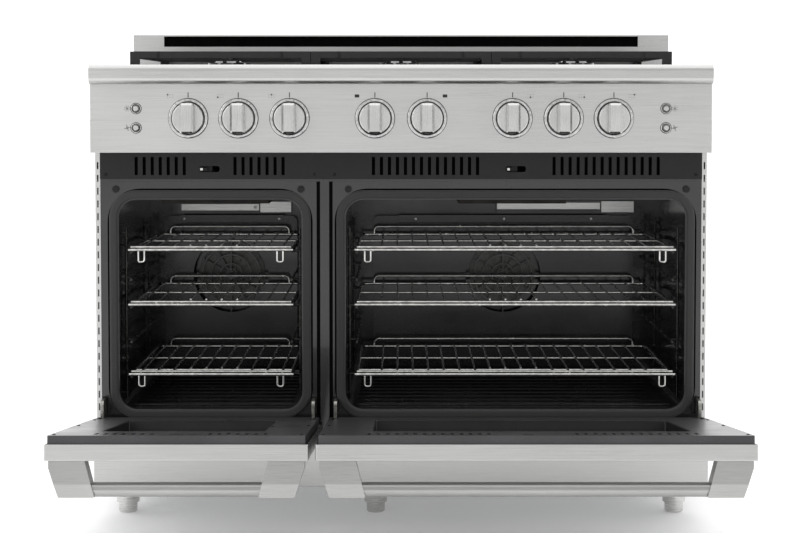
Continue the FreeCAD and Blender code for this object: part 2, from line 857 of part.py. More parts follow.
def spillTray():
    spanX = inset(width, "trayMargin")
    spanY = ("trayFront", trayBack)
    rim = "worktop - trayRim"
    body = extrude("top", (trayFloor, rim), rectangle(spanX, spanY, "trayCorner"))
    carve(body, "top", (f"{trayFloor} + trayWall", rim),
          rectangle(inset(spanX, "trayWall"), inset(spanY, "trayWall"), "trayCorner - trayWall"))
    keep(body, "spill_tray")


def burnerStack():
    floor = f"{trayFloor} + trayWall"
    headTop = f"{floor} + burnerHeadHeight"
    heads = []
    caps = []
    for x, y in burnerPlaces:
        base = rod("z", "burnerBase", (floor, f"{floor} + burnerBaseThick"), x=x, y=y)
        crown = cone("z", "burnerHead", "burnerHeadTop", (f"{floor} + burnerBaseThick", headTop), x=x, y=y)
        bore = rod("z", "burnerBore", (f"{headTop} - burnerBoreDepth", headTop), x=x, y=y)
        heads.append(cut(fuse(base, crown), bore))
        edge, top = f"{headTop} + burnerCapThick / 2", f"{headTop} + burnerCapThick"
        caps.append(fuse(rod("z", "burnerCap", (headTop, edge), x=x, y=y),
                         cone("z", "burnerCap", "burnerCapTop", (edge, top), x=x, y=y)))
    keep(group(*heads), "burner_heads")
    keep(group(*caps), "burner_caps")


def finger(x, y, angle, start, end):
    """A bar that points at a burner's middle from one direction, lying in the grate's top layer."""
    item = box(("0", f"({end}) - ({start})"), ("0", "fingerWide"), (f"{grateTop} - grateBar", grateTop))
    item.Placement.Rotation = FreeCAD.Rotation(vector(0, 0, 1), angle)
    item.setExpression("Placement.Base.x",
                       formula(f"({x}) + ({start}) * cos({angle}) + fingerWide / 2 * sin({angle})"))
    item.setExpression("Placement.Base.y",
                       formula(f"({y}) + ({start}) * sin({angle}) - fingerWide / 2 * cos({angle})"))
    return item


def grate(name, column):
    middle = f"({column} * {gratePitch})"
    spanX = about(middle, f"({gratePitch} - grateGap) / 2")
    spanY = (grateFront, grateBack)
    spanZ = (f"{grateTop} - grateBar", grateTop)
    bars = [cut(box(spanX, spanY, spanZ), box(inset(spanX, "grateWall"), inset(spanY, "grateWall"), spanZ)),
            box(spanX, about(f"{grateFront} + {cellDepth}", "grateWall / 2"), spanZ)]
    for row in (0.5, 1.5):
        y = f"{grateFront} + {row} * {cellDepth}"
        for angle in (0, 180):
            bars.append(finger(middle, y, angle, "fingerClear", f"({gratePitch} - grateGap - grateWall) / 2"))
        for angle in (90, 270):
            bars.append(finger(middle, y, angle, "fingerClear", f"({cellDepth} - grateWall / 2) / 2"))
        for angle in (45, 135, 225, 315):
            bars.append(finger(middle, y, angle, "cornerClear", f"{cellDepth} / 2 / sin(45)"))
    footZ = (f"{trayFloor} + trayWall + grateFootLift", spanZ[0])
    for x in ((spanX[0], f"{spanX[0]} + grateFoot"), (f"{spanX[1]} - grateFoot", spanX[1])):
        for y in ((spanY[0], f"{spanY[0]} + grateFoot"), (f"{spanY[1]} - grateFoot", spanY[1])):
            bars.append(box(x, y, footZ))
    keep(group(fuse(*bars)), f"grate_{name}")


# ovens
def ovenLiner(side, oven):
    spanX = about(oven["centre"], oven["cavity"])
    spanZ = ("cavityFloor", "cavityTop")
    outer = "-sheetThick"
    body = extrude("front", ("sheetThick", f"{cavityBack} + sheetThick"),
                   rectangle(inset(spanX, outer), inset(spanZ, outer), "cavityCorner + sheetThick"))
    carve(body, "front", ("sheetThick", cavityBack), rectangle(spanX, spanZ, "cavityCorner"))
    carve(body, "front", (cavityBack, f"{cavityBack} + sheetThick"),
          (oven["centre"], "fanZ", "fanShaftHole"))
    keep(body, f"oven_liner_{side}")


def armSlots(oven):
    """The openings that a door's two hinge arms come through."""
    spanZ = ("hingeZ + armLow - armSlotGap", "hingeZ + armHigh + armSlotGap")
    return [rectangle(about(x, "armThick / 2 + armSlotGap"), spanZ) for x in oven["arms"]]


def ovenFaceFrames():
    plates = []
    for oven in ovens.values():
        plate = extrude("front", ("0", "sheetThick"), rectangle(oven["plate"], ("plateBottom", "plateTop")),
                        rectangle(about(oven["centre"], oven["cavity"]), ("cavityFloor", "cavityTop"),
                                  "openingCorner"))
        plates.append(carve(plate, "front", ("0", "sheetThick"), *armSlots(oven)))
    mullion = extrude("front", ("0", "sheetThick"), rectangle(about("ovenSplit", "mullionHalf"),
                                                              (f"{kickTop} + fitGap", "trimBottom - fitGap")))
    behind = ("sheetThick", "sheetThick * 2")
    chassis = extrude("front", behind,
                      rectangle(inset(width, "sheetThick + fitGap"), (kickTop, "trimBottom")))
    for oven in ovens.values():
        carve(chassis, "front", behind,
              rectangle(about(oven["centre"], f"{oven['cavity']} + sheetThick + fitGap"),
                        inset(("cavityFloor", "cavityTop"), "-sheetThick - fitGap"), "cavityCorner"),
              *armSlots(oven))
    keep(group(*plates, mullion, chassis), "oven_face_frames")


def ovenGaskets():
    rings = []
    for oven in ovens.values():
        spanX = about(oven["centre"], oven["cavity"])
        spanZ = ("cavityFloor", "cavityTop")
        inner = "-gasketLap"
        outer = "-gasketLap - gasketBand"
        corner = "openingCorner + gasketLap"
        body = extrude("front", ("-gasketDepth", "0"),
                       rectangle(inset(spanX, outer), inset(spanZ, outer), f"{corner} + gasketBand"),
                       rectangle(inset(spanX, inner), inset(spanZ, inner), corner))
        rings.append(soften(body, "Fillet", "gasketRound", lambda point: near(point.y, "-gasketDepth")))
    bumpers = [rod("y", "bumperRadius", ("-bumperDepth", "0"), x=x, z="plateTop - bumperDrop")
               for oven in ovens.values()
               for x in (f"{oven['door'][0]} + bumperInset", f"{oven['door'][1]} - bumperInset")]
    keep(group(*rings, *bumpers), "oven_gaskets")


def fanBaffles():
    covers = []
    for oven in ovens.values():
        spanX = about(oven["centre"], oven["baffle"])
        spanZ = ("cavityFloor + baffleRise", "cavityTop - baffleDrop")
        front = (baffleFront, f"{baffleFront} + baffleWall")
        body = extrude("front", (baffleFront, cavityBack), rectangle(spanX, spanZ, "cavityCorner"))
        carve(body, "front", (front[1], cavityBack),
              rectangle(inset(spanX, "baffleWall"), inset(spanZ, "baffleWall"), "cavityCorner - baffleWall"))
        carve(body, "front", front, (oven["centre"], "fanZ", "fanRadius"))
        centre = {"x": oven["centre"], "z": "fanZ"}
        guard = [rod("y", "guardRing * 3", front, **centre),
                 box(about(oven["centre"], "fanRadius"), front, about("fanZ", "guardRing / 2")),
                 box(about(oven["centre"], "guardRing / 2"), front, about("fanZ", "fanRadius"))]
        for index in range(1, int(number("guardRingCount"))):
            radius = f"guardPitch * {index} + guardRing"
            guard.append(ring("y", f"{radius} + guardRing", radius, front, **centre))
        covers.append(fuse(body, *guard))
        covers.append(box(oven["cover"], (f"{cavityBack} - coverDepth", cavityBack),
                          ("cavityTop - coverDrop - coverHeight", "cavityTop - coverDrop")))
    keep(group(*covers), "fan_baffles")


def convectionFan(side, oven):
    """A bladed wheel on its shaft, built about its own axis with the baffle's front at y = 0."""
    front = "baffleWall + fanFrontGap"
    back = f"{front} + fanDepth"
    body = extrude("front", (f"{back} - fanBlade", back), ("0", "0", "fanWheel"))
    addPad(body, "front", (front, f"{back} - fanBlade"), ("0", "0", "fanHub"))
    addPad(body, "front", (front, f"{back} - fanBlade"),
           rectangle(("fanHub - fanBlade", "fanWheel - fanBlade"), about("0", "fanBlade / 2")))
    blade = body.Tip
    pattern = body.newObject("PartDesign::PolarPattern", "Blades")
    pattern.Originals = [blade]
    pattern.Axis = (blade.Profile[0], ["N_Axis"])
    pattern.Angle = 360
    pattern.setExpression("Occurrences", "Sizes.fanBladeCount")
    body.Tip = pattern
    doc.recompute()
    shaft = rod("y", "fanShaft", (back, "baffleDepth + sheetThick + shaftGrip"))
    keep(fuse(body, shaft), f"convection_fan_{side}", at=(oven["centre"], baffleFront, "fanZ"))


def electricalParts():
    items = []
    motorFront = f"{cavityBack} + sheetThick"
    for oven in ovens.values():
        centre = {"x": oven["centre"], "z": "fanZ"}
        bore = rod("y", "fanShaft + stemGap", (motorFront, f"{motorFront} + shaftGrip + fitGap"), **centre)
        items.append(cut(rod("y", "motorRadius", (motorFront, f"{motorFront} + motorDepth"), **centre), bore))
    switchFront = "panelFront + sheetThick"
    for x, z in buttonPlaces.values():
        bore = rod("y", "buttonRadius + buttonGap",
                   (switchFront, "panelFront + buttonStem + switchGap"), x=x, z=z)
        items.append(cut(box(about(x, "switchHalf"), (switchFront, f"{switchFront} + switchDepth"),
                             about(z, "switchHalf")), bore))
    recess = box(about("powerX", "powerHalf - powerRecess / 2"), ("bodyDepth - powerRecess", "bodyDepth"),
                 about("inletZ", "powerHalf / 2"))
    items.append(cut(box(about("powerX", "powerHalf"), ("bodyDepth - powerDepth", "bodyDepth"),
                         about("inletZ", "powerHalf")), recess))
    keep(group(*items), "electrical_parts")


def ovenBurners():
    items = []
    front = "sheetThick * 2"
    back = f"{baffleFront} - tubeInset"
    for oven in ovens.values():
        left, right = inset(about(oven["centre"], oven["cavity"]), "tubeInset")
        z = "cavityFloor - tubeDrop"
        items.append(bentWire([(left, front, z), (left, back, z), (right, back, z), (right, front, z)],
                              "tubeRadius", "tubeBend"))
        items.append(box(about(oven["centre"], "broilerHalf"),
                         ("broilerFront", "broilerFront + broilerLength"),
                         ("cavityTop - broilerThick", "cavityTop")))
    keep(group(*items), "oven_burners")


def guideLadder(oven, sign):
    """One side's upright posts with a rung for each rack level, and short feet to the wall."""
    post = f"{oven['centre']} + {sign} * ({oven['cavity']} - guideWallGap)"
    rung = f"{oven['centre']} + {sign} * ({oven['rack']} - guideLap)"
    wall = f"{oven['centre']} + {sign} * {oven['cavity']}"
    low, high = "cavityFloor + guideFootRise", "rackHigh + guideHeadRise"
    wires = []
    for y in ("guidePostFront", guidePostRear):
        wires.append(rod("z", "guideWire", (low, high), x=post, y=y))
        for z in (f"{low} + guideFootRise", f"{high} - guideFootRise"):
            wires.append(rod("x", "guideWire", (post, wall) if sign > 0 else (wall, post), y=y, z=z))
    for level in ("rackLow", "spareLow", "rackMiddle", "spareHigh", "rackHigh"):
        z = f"{level} - rackRim - guideWire - guideGap"
        wires.append(rod("y", "guideWire", ("guideFront", f"{baffleFront} - guideRearGap"), x=rung, z=z))
        for y in ("guidePostFront", guidePostRear):
            wires.append(rod("x", "guideWire", (rung, post) if sign > 0 else (post, rung), y=y, z=z))
    return fuse(*wires)


def rackGuides():
    keep(group(*(guideLadder(oven, sign) for oven in ovens.values() for sign in (-1, 1))), "rack_guides")


def rack(side, oven, level, name, glides):
    """A rack about its oven's middle at one level: a rim, cross bars, and wires that lie on them."""
    half = oven["rack"]
    centre = oven["centre"]
    rim = f"({half} - rackOverhang)"
    rear = rackRear
    corners = [(f"{centre} - {rim}", "rackFront", level), (f"{centre} - {rim}", rear, level),
               (f"{centre} + {rim}", rear, level), (f"{centre} + {rim}", "rackFront", level)]
    lipY = "rackFront + rackLipSet"
    wires = [bentWire(corners, "rackRim", "rackRimBend"),
             rod("x", "rackRim", about(centre, half), y="rackFront", z=level),
             rod("x", "rackLip", about(centre, rim), y=lipY, z=f"{level} + rackLipRise")]
    for y in ("crossFront", f"{rear} - crossRearGap"):
        wires.append(rod("x", "crossWire", about(centre, rim), y=y, z=level))
    count = int(number(oven["wires"]))
    notch = number("rackNotchWires") / 2
    for index in range(count):
        offset = index - (count - 1) / 2
        # the middle wires stop short and leave room for a hand
        start = "crossFront" if abs(offset) < notch else lipY
        wires.append(rod("y", "rackWire", (start, rear), x=f"{centre} + {offset} * rackWirePitch",
                         z=f"{level} + rackWireLift"))
    stop = f"({half} - stopInset)"
    raised = f"{level} + stopRise"
    wires.append(bentWire([(f"{centre} - {stop}", rear, level), (f"{centre} - {stop}", rear, raised),
                           (f"{centre} + {stop}", rear, raised), (f"{centre} + {stop}", rear, level)],
                          "crossWire", "stopBend"))
    hung = f"{level} - glideDrop"
    for sign in (-1, 1) if glides else ():
        left, right = about(f"{centre} + {sign} * ({half} - glideInset)", "glideHalf")
        wires.append(bentWire([(left, "rackFront", level), (left, "rackFront", hung),
                               (right, "rackFront", hung), (right, "rackFront", level)],
                              "rackWire", "glideBend"))
    keep(group(fuse(*wires)), f"rack_{side}_{name}")


def gasManifold():
    """The pipe with its valves, burner feeds and supply in one piece, and the regulator at the back."""
    welded = [rod("x", "manifoldRadius", inset(width, "sheetThick"), y="manifoldY", z="knobZ")]
    for x in knobPlaces.values():
        bore = rod("y", "stemRadius + stemGap",
                   ("valveFront", "panelFront + stemLength + fitGap"), x=x, z="knobZ")
        valve = box(about(x, "valveHalf"), ("valveFront", "manifoldY"), about("knobZ", "valveHalf"))
        welded.append(cut(valve, bore))
    for index, (x, y) in enumerate(burnerPlaces):
        aside = f"{x} + {index % 2} * feedShift"
        welded.append(bentWire([(aside, "manifoldY", "knobZ"), (aside, y, "knobZ"), (aside, y, trayFloor)],
                               "feedRadius", "feedBend"))
    down = "bodyDepth - regulatorBack - regulatorHalf"
    welded.append(bentWire([("inletX", "manifoldY", "knobZ"), ("inletX", down, "knobZ"),
                            ("inletX", down, "inletZ + regulatorHalf")], "supplyRadius", "supplyBend"))
    regulator = box(about("inletX", "regulatorHalf"), about(down, "regulatorHalf"),
                    about("inletZ", "regulatorHalf"))
    nipple = rod("y", "inletRadius", (f"{down} + regulatorHalf", f"{down} + regulatorHalf + inletLength"),
                 x="inletX", z="inletZ")
    keep(group(fuse(*welded), regulator, nipple), "gas_manifold")


# doors
def doorSkin(side, oven):
    spanZ = (doorBottom, doorTop)
    outer = rectangle(oven["door"], spanZ, "doorEdge")
    inner = rectangle(inset(oven["door"], "sheetThick"), inset(spanZ, "sheetThick"), "doorEdge - sheetThick")
    body = extrude("front", (doorFront, linerFront), outer)
    carve(body, "front", (f"{doorFront} + sheetThick", linerFront), inner)
    carve(body, "front", (doorFront, f"{doorFront} + sheetThick"),
          rectangle(oven["window"], (windowBottom, windowTop), "windowCorner"))
    low, high = (number(edge) for edge in oven["door"])

    def atRim(point):
        onEnd = near(point.z, doorBottom) or near(point.z, doorTop)
        return near(point.y, doorFront) and (near(point.x, low) or near(point.x, high) or onEnd)

    soften(body, "Fillet", "doorEdge - sheetThick / 2", atRim)
    keep(body, f"door_skin_{side}", door=True)


def doorLiner(side, oven):
    spanX = inset(oven["door"], "linerInset")
    spanZ = inset((doorBottom, doorTop), "linerInset")
    windowZ = (windowBottom, windowTop)
    wall = (f"{doorBack} - linerWall", doorBack)
    body = extrude("front", (linerFront, doorBack), rectangle(spanX, spanZ, "doorEdge"))
    wellX, wellZ = inset(oven["window"], "-windowWall"), inset(windowZ, "-windowWall")
    carve(body, "front", (linerFront, wall[0]),
          rectangle(inset(spanX, "linerWall"), inset(spanZ, "linerWall"), "doorEdge - linerWall"),
          rectangle(wellX, wellZ, "windowCorner + windowWall"))
    carve(body, "front", (linerFront, doorBack), rectangle(oven["window"], windowZ, "windowCorner"))
    ventRows(body, oven, wall, f"{doorTop} - doorVentDrop")
    arms = [rectangle(about(x, "armThick / 2 + armSlotGap"), ("hingeZ - armHub + armSlotGap / 2",
                                                              "hingeZ + armHigh + armSlotGap"))
            for x in oven["arms"]]
    left = f"{oven['centre']} - latchSlotHalf + latchGap / 2"
    keeper = rectangle((left, f"{left} + latchTip + latchGap * 2"),
                       about("panelBottom - latchDrop", "latchSlotHigh"))
    carve(body, "front", wall, keeper, *arms)
    keep(body, f"door_liner_{side}", door=True)


def doorGlass(side, oven):
    spanX = inset(oven["window"], "-glassLap")
    spanZ = inset((windowBottom, windowTop), "-glassLap")
    outer = box(spanX, (f"{doorFront} + sheetThick", f"{doorFront} + sheetThick + glassThick"), spanZ)
    inner = box(spanX, (f"{linerFront} - glassThick", linerFront), spanZ)
    keep(group(outer, inner), f"door_glass_{side}", door=True)


def handleBracket(edge, sign):
    """A bracket that leans along the bar, away from the door's edge; past its fold it grows thinner."""
    def x(along):
        return f"{edge} + {sign} * (bracketInset + {along})"

    base = f"{doorFront} - bracketBase"
    tip = f"{doorFront} - bracketReach"
    outline = [(x("0"), doorFront), (x("0"), base), (x("bracketSlant"), tip, "panelEdge"),
               (x("(bracketSlant + bracketWidth)"), tip, "panelEdge"), (x("bracketWidth"), doorFront)]
    body = extrude("top", about(handleZ, "bracketHalf"), outline)
    fold = f"{doorFront} - bracketFold"
    beyond = f"{tip} - 1"
    slope = "(bracketTip - bracketHalf) / (bracketReach - bracketFold) * (bracketReach - bracketFold + 1)"
    low, high = (f"{edge} - bracketWidth * 3", f"{edge} + bracketWidth * 3")
    for up in (-1, 1):
        full = f"{handleZ} + {up} * bracketHalf"
        carve(body, "side", (low, high), [(fold, full), (beyond, full), (beyond, f"{full} + {up} * {slope}")])
    return body


def doorHandle(side, oven):
    low, high = oven["door"]
    left = handleBracket(low, 1)
    right = handleBracket(high, -1)
    reach = "bracketInset + bracketWidth - bracketSlant"
    bar = rod("x", "barRadius", (f"{low} + {reach}", f"{high} - ({reach})"),
              y=f"{doorFront} - barStandoff", z=handleZ)
    keep(group(left, right, cut(bar, left, right)), f"door_handle_{side}", door=True)


def doorHinge(side, oven):
    items = []
    outer = "armThick / 2 + cheekGap + cheekThick"
    front, back = f"{doorFront} + sheetThick", "hingeY + cheekBack"
    for x in oven["arms"]:
        spanZ = (f"{doorBottom} + cheekThick * 2", "hingeZ + cheekHigh")
        channel = cut(box(about(x, outer), (front, back), spanZ),
                      box(about(x, "armThick / 2 + cheekGap"), (f"{front} + cheekThick", back), spanZ))
        items.append(fuse(channel, rod("x", "pinRadius", about(x, outer), y="hingeY", z="hingeZ")))
    keep(group(*items), f"door_hinge_{side}", door=True)


def hingeArms():
    """Each arm rises from the pin and turns back through the face into its receiver."""
    items = []
    half = "armWidth / 2"
    reach = "sheetThick * 2 + receiverDepth - receiverWall"
    outline = [(f"hingeY - {half}", "hingeZ"), (f"hingeY + {half}", "hingeZ"),
               (f"hingeY + {half}", "hingeZ + armLow", "armBend / 2"), (reach, "hingeZ + armLow"),
               (reach, "hingeZ + armHigh"), (f"hingeY - {half}", "hingeZ + armHigh", "armBend")]
    for oven in ovens.values():
        for x in oven["arms"]:
            span = about(x, "armThick / 2")
            arm = extrude("side", span, outline)
            addPad(arm, "side", span, ("hingeY", "hingeZ", "armHub"))
            carve(arm, "side", span, ("hingeY", "hingeZ", "pinRadius + pinGap"))
            spanX = about(x, "armThick / 2 + armSlotGap")
            spanY = ("sheetThick * 2", "sheetThick * 2 + receiverDepth")
            spanZ = ("hingeZ + armLow - armSlotGap", "hingeZ + armHigh + armSlotGap")
            shell = box(inset(spanX, "-receiverWall"), spanY, inset(spanZ, "-receiverWall"))
            items += [arm, cut(shell, box(spanX, (spanY[0], f"{spanY[1]} - receiverWall"), spanZ))]
    keep(group(*items), "hinge_arms")


def doorLatch(side, oven):
    """The hook hangs out of the trim's slot and slides sideways behind the door's keeper."""
    left = f"{oven['centre']} - latchSlotHalf + latchGap"
    spanZ = about("panelBottom - latchDrop", "latchThick")
    tip = f"{doorBack} - latchReach"
    hook = [box((left, f"{left} + latchBar"), (tip, "latchBar"), spanZ),
            box((left, f"{left} + latchTip"), (tip, f"{tip} + latchTipThick"), spanZ),
            box((f"{left} - latchBar", f"{left} + latchTip + latchBar"),
                ("latchBar", "latchBar + latchPlate"), about("panelBottom - latchDrop", "latchBar"))]
    keep(group(fuse(*hook)), f"door_latch_{side}")


basePan()
sidePanel("left", -1)
sidePanel("right", 1)
rearPanel()
kickPanel()
levelingFeet()
backguard()
controlPanel()
frontRail()
ventTrim()
knobBezels()
cooktopDeck()
spillTray()
burnerStack()
ovenFaceFrames()
ovenGaskets()
fanBaffles()
electricalParts()
ovenBurners()
rackGuides()
gasManifold()
hingeArms()
for name, x in knobPlaces.items():
    knob(name, x)
for name, (x, z) in buttonPlaces.items():
    button(name, x, z)
for name, column in {"left": -1, "centre": 0, "right": 1}.items():
    grate(name, column)
for side, oven in ovens.items():
    ovenLiner(side, oven)
    convectionFan(side, oven)
    doorSkin(side, oven)
    doorLiner(side, oven)
    doorGlass(side, oven)
    doorHandle(side, oven)
    doorHinge(side, oven)
    doorLatch(side, oven)
    rack(side, oven, "rackHigh", "high", glides=True)
    rack(side, oven, "rackMiddle", "middle", glides=False)
    rack(side, oven, "rackLow", "low", glides=True)

doc.recompute()

for item in doc.Objects:
    if "Invalid" in item.State or "Error" in item.State:
        raise ValueError(f"{item.Label} failed: {item.State}")
for item in pieces:
    if item.Shape.isNull() or not item.Shape.isValid():
        raise ValueError(f"{item.Label} has no valid shape")
for item in pieces:
    item.Shape.exportStep(f"parts/{item.Label}.step")
print(len(pieces), "pieces, centre shift", round(number(middleY), 3))
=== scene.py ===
import json
import math

import bmesh
import bpy
from mathutils import Euler, Matrix, Vector


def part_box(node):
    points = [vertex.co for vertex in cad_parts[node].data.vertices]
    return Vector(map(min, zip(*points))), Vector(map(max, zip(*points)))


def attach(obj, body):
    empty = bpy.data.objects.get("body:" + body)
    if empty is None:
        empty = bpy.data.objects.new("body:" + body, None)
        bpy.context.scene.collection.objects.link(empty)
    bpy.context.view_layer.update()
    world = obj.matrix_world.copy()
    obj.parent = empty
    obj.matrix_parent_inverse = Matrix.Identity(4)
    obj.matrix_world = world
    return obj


# Looks for the freestanding gas range: finishes for the CAD pieces, and the small trim around them.
# All lengths are in metres unless a name ends in Mm.

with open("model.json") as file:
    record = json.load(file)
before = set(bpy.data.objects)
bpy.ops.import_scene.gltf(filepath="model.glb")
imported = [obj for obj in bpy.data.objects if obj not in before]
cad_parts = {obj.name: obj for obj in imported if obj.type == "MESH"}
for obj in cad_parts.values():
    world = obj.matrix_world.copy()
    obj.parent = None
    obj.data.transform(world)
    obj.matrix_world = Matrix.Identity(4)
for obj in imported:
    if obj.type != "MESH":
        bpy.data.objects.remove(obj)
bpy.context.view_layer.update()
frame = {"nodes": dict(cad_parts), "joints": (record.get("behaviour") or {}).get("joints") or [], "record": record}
nodes = frame["nodes"]
scene = bpy.context.scene
print("frame loaded with", len(nodes), "pieces")

mm = 0.001


def linearColour(text):
    channels = [int(text[start:start + 2], 16) / 255 for start in (1, 3, 5)]
    bright = [c / 12.92 if c <= 0.04045 else ((c + 0.055) / 1.055) ** 2.4 for c in channels]
    return (*bright, 1.0)


def addNode(tree, kind, settings=None, links=None):
    # a capital letter or a number names an input, a small letter names a property of the node
    def namesInput(name):
        return isinstance(name, int) or name[0].isupper()

    node = tree.nodes.new(kind)
    # properties go first, because some of them change what the inputs are
    for name, value in sorted((settings or {}).items(), key=lambda item: namesInput(item[0])):
        if namesInput(name):
            node.inputs[name].default_value = value
        else:
            setattr(node, name, value)
    for name, source in (links or {}).items():
        tree.links.new(source, node.inputs[name])
    return node


def startFinish(name, shader):
    finish = bpy.data.materials.new(name)
    finish.use_nodes = True
    surface = finish.node_tree.nodes["Principled BSDF"]
    for socket, value in shader.items():
        surface.inputs[socket].default_value = value
    return finish, finish.node_tree, surface


def patternPlace(tree, sizesMm):
    # one unit of the pattern is this many millimetres along x, y and z
    spot = addNode(tree, "ShaderNodeTexCoord").outputs["Object"]
    scale = tuple(1000 / size for size in sizesMm)
    return addNode(tree, "ShaderNodeMapping", {"Scale": scale}, {"Vector": spot}).outputs["Vector"]


def spread(tree, source, low, high, start=0.3, end=0.7):
    # turns a pattern's middle values into a range for roughness or a mask
    settings = {"From Min": start, "From Max": end, "To Min": low, "To Max": high}
    return addNode(tree, "ShaderNodeMapRange", settings, {"Value": source}).outputs["Result"]


def tint(tree, source, darkHex, lightHex, start=0.3, end=0.7):
    ramp = addNode(tree, "ShaderNodeValToRGB", {}, {"Fac": source})
    first, last = ramp.color_ramp.elements
    first.position, last.position = start, end
    first.color, last.color = linearColour(darkHex), linearColour(lightHex)
    return ramp.outputs["Color"]


def raiseBy(tree, surface, height, depthMm, strength=1.0):
    settings = {"Strength": strength, "Distance": depthMm * mm}
    bump = addNode(tree, "ShaderNodeBump", settings, {"Height": height})
    tree.links.new(bump.outputs["Normal"], surface.inputs["Normal"])


def noise(tree, place, detail=3.0, rough=0.55):
    settings = {"Scale": 1.0, "Detail": detail, "Roughness": rough}
    return addNode(tree, "ShaderNodeTexNoise", settings, {"Vector": place}).outputs["Fac"]


def mixValues(tree, first, second, share):
    settings = {"data_type": "FLOAT", "Factor": share}
    return addNode(tree, "ShaderNodeMix", settings, {2: first, 3: second}).outputs[0]


def brushedSteel(name, grainMm, colours, roughness, cloudMm=(320, 320, 190)):
    # sheet ground with a fine belt: hair lines one way, and faint cloudy patches where hands and cloths went.
    # real lines are under 0.1 mm apart, so they are drawn about eight times coarser to show at all
    finish, tree, surface = startFinish(name, {"Metallic": 1.0})
    lines = noise(tree, patternPlace(tree, grainMm), detail=4, rough=0.65)
    clouds = noise(tree, patternPlace(tree, cloudMm), detail=2)
    both = mixValues(tree, lines, clouds, 0.3)
    tree.links.new(tint(tree, both, *colours, start=0.36, end=0.64), surface.inputs["Base Color"])
    tree.links.new(spread(tree, both, *roughness), surface.inputs["Roughness"])
    raiseBy(tree, surface, lines, 0.02, 0.18)
    return finish


steelLook = {
    "acrossMm": 0.6,
    "alongMm": 90,
    "panelColours": ("#b3b3b2", "#c2c2c1"),
    "panelRoughness": (0.24, 0.38),
    "knobColours": ("#b6b6b5", "#c9c9c7"),
    "knobRoughness": (0.2, 0.32),
}
across, along = steelLook["acrossMm"], steelLook["alongMm"]
brushedStainless = brushedSteel("brushed_stainless_sheet", (along, across, across),
                                steelLook["panelColours"], steelLook["panelRoughness"])
brushedKnobSteel = brushedSteel("brushed_stainless_knob", (across, along, along / 2),
                                steelLook["knobColours"], steelLook["knobRoughness"], (40, 40, 40))
brushedBarSteel = brushedSteel("brushed_stainless_bar", (along / 2, across, across),
                               ("#9b9b9a", "#adadab"), (0.26, 0.34))


def polishedSteel(name, colours, roughness, scuffMm):
    # turned and buffed: clear reflections with a few soft scuffs
    finish, tree, surface = startFinish(name, {"Metallic": 1.0})
    scuffs = noise(tree, patternPlace(tree, scuffMm), detail=5, rough=0.6)
    tree.links.new(tint(tree, scuffs, *colours), surface.inputs["Base Color"])
    tree.links.new(spread(tree, scuffs, *roughness), surface.inputs["Roughness"])
    raiseBy(tree, surface, scuffs, 0.01, 0.2)
    return finish


polishedBezel = polishedSteel("buffed_stainless_ring", ("#a4a4a3", "#d6d6d5"), (0.06, 0.14), (6, 6, 6))
nickelWire = polishedSteel("nickel_plated_wire", ("#b2b1af", "#e4e3e0"), (0.12, 0.28), (9, 9, 9))
turnedSteel = polishedSteel("turned_steel_foot", ("#a9a9a7", "#e0e0de"), (0.08, 0.2), (30, 30, 1.2))
hingeSteel = polishedSteel("zinc_plated_hinge_steel", ("#80807c", "#b2b1ab"), (0.28, 0.45), (5, 5, 5))
fanSteel = polishedSteel("aluminised_fan_steel", ("#3c3c3b", "#5f5f5d"), (0.3, 0.5), (7, 7, 7))
pipeSteel = polishedSteel("drawn_pipe_steel", ("#777672", "#a4a39e"), (0.3, 0.5), (40, 4, 4))
# painted shade: the oven burners are coloured nearly black, as the shade under each oven's roof
tubeSteel = polishedSteel("shade_darkened_burner_steel", ("#1d1c1c", "#3a3836"), (0.4, 0.6), (35, 18, 18))
brassBlade = polishedSteel("brass_inlet_blade", ("#9a7b3a", "#c9a558"), (0.2, 0.35), (4, 4, 4))
blackScrew = polishedSteel("blackened_steel_screw", ("#181818", "#343433"), (0.25, 0.4), (2, 2, 2))
brightScrew = polishedSteel("zinc_plated_screw", ("#8e8e8a", "#c6c6c2"), (0.2, 0.35), (2, 2, 2))
lampStrip = polishedSteel("satin_aluminium_strip", ("#b0b0ae", "#d4d4d2"), (0.3, 0.45), (60, 3, 3))
guideWire = polishedSteel("heat_darkened_wire", ("#1d1d1d", "#454543"), (0.16, 0.32), (9, 9, 9))


def enamel(name, colours, roughness, peelMm, speckHex=None, coat=0.0):
    # fired vitreous enamel: a glassy skin with slight orange peel, and pale specks in the grey kinds
    shader = {"Coat Weight": coat, "Coat Roughness": 0.06, "Specular IOR Level": 0.5}
    finish, tree, surface = startFinish(name, shader)
    clouds = noise(tree, patternPlace(tree, (130, 130, 130)), detail=3)
    peel = noise(tree, patternPlace(tree, (peelMm, peelMm, peelMm)), detail=2)
    colour = tint(tree, clouds, *colours)
    if speckHex:
        # specks are about 0.5 mm across, drawn at 1.6 mm so that some show
        place = patternPlace(tree, (4.5, 4.5, 4.5))
        dots = addNode(tree, "ShaderNodeTexVoronoi", {"Scale": 1.0, "Randomness": 1.0}, {"Vector": place})
        mask = spread(tree, dots.outputs["Distance"], 1.0, 0.0, 0.12, 0.2)
        settings = {"data_type": "RGBA", 7: linearColour(speckHex)}
        colour = addNode(tree, "ShaderNodeMix", settings, {"Factor": mask, 6: colour}).outputs[2]
    tree.links.new(colour, surface.inputs["Base Color"])
    tree.links.new(spread(tree, clouds, *roughness), surface.inputs["Roughness"])
    raiseBy(tree, surface, peel, 0.05, 0.25)
    return finish


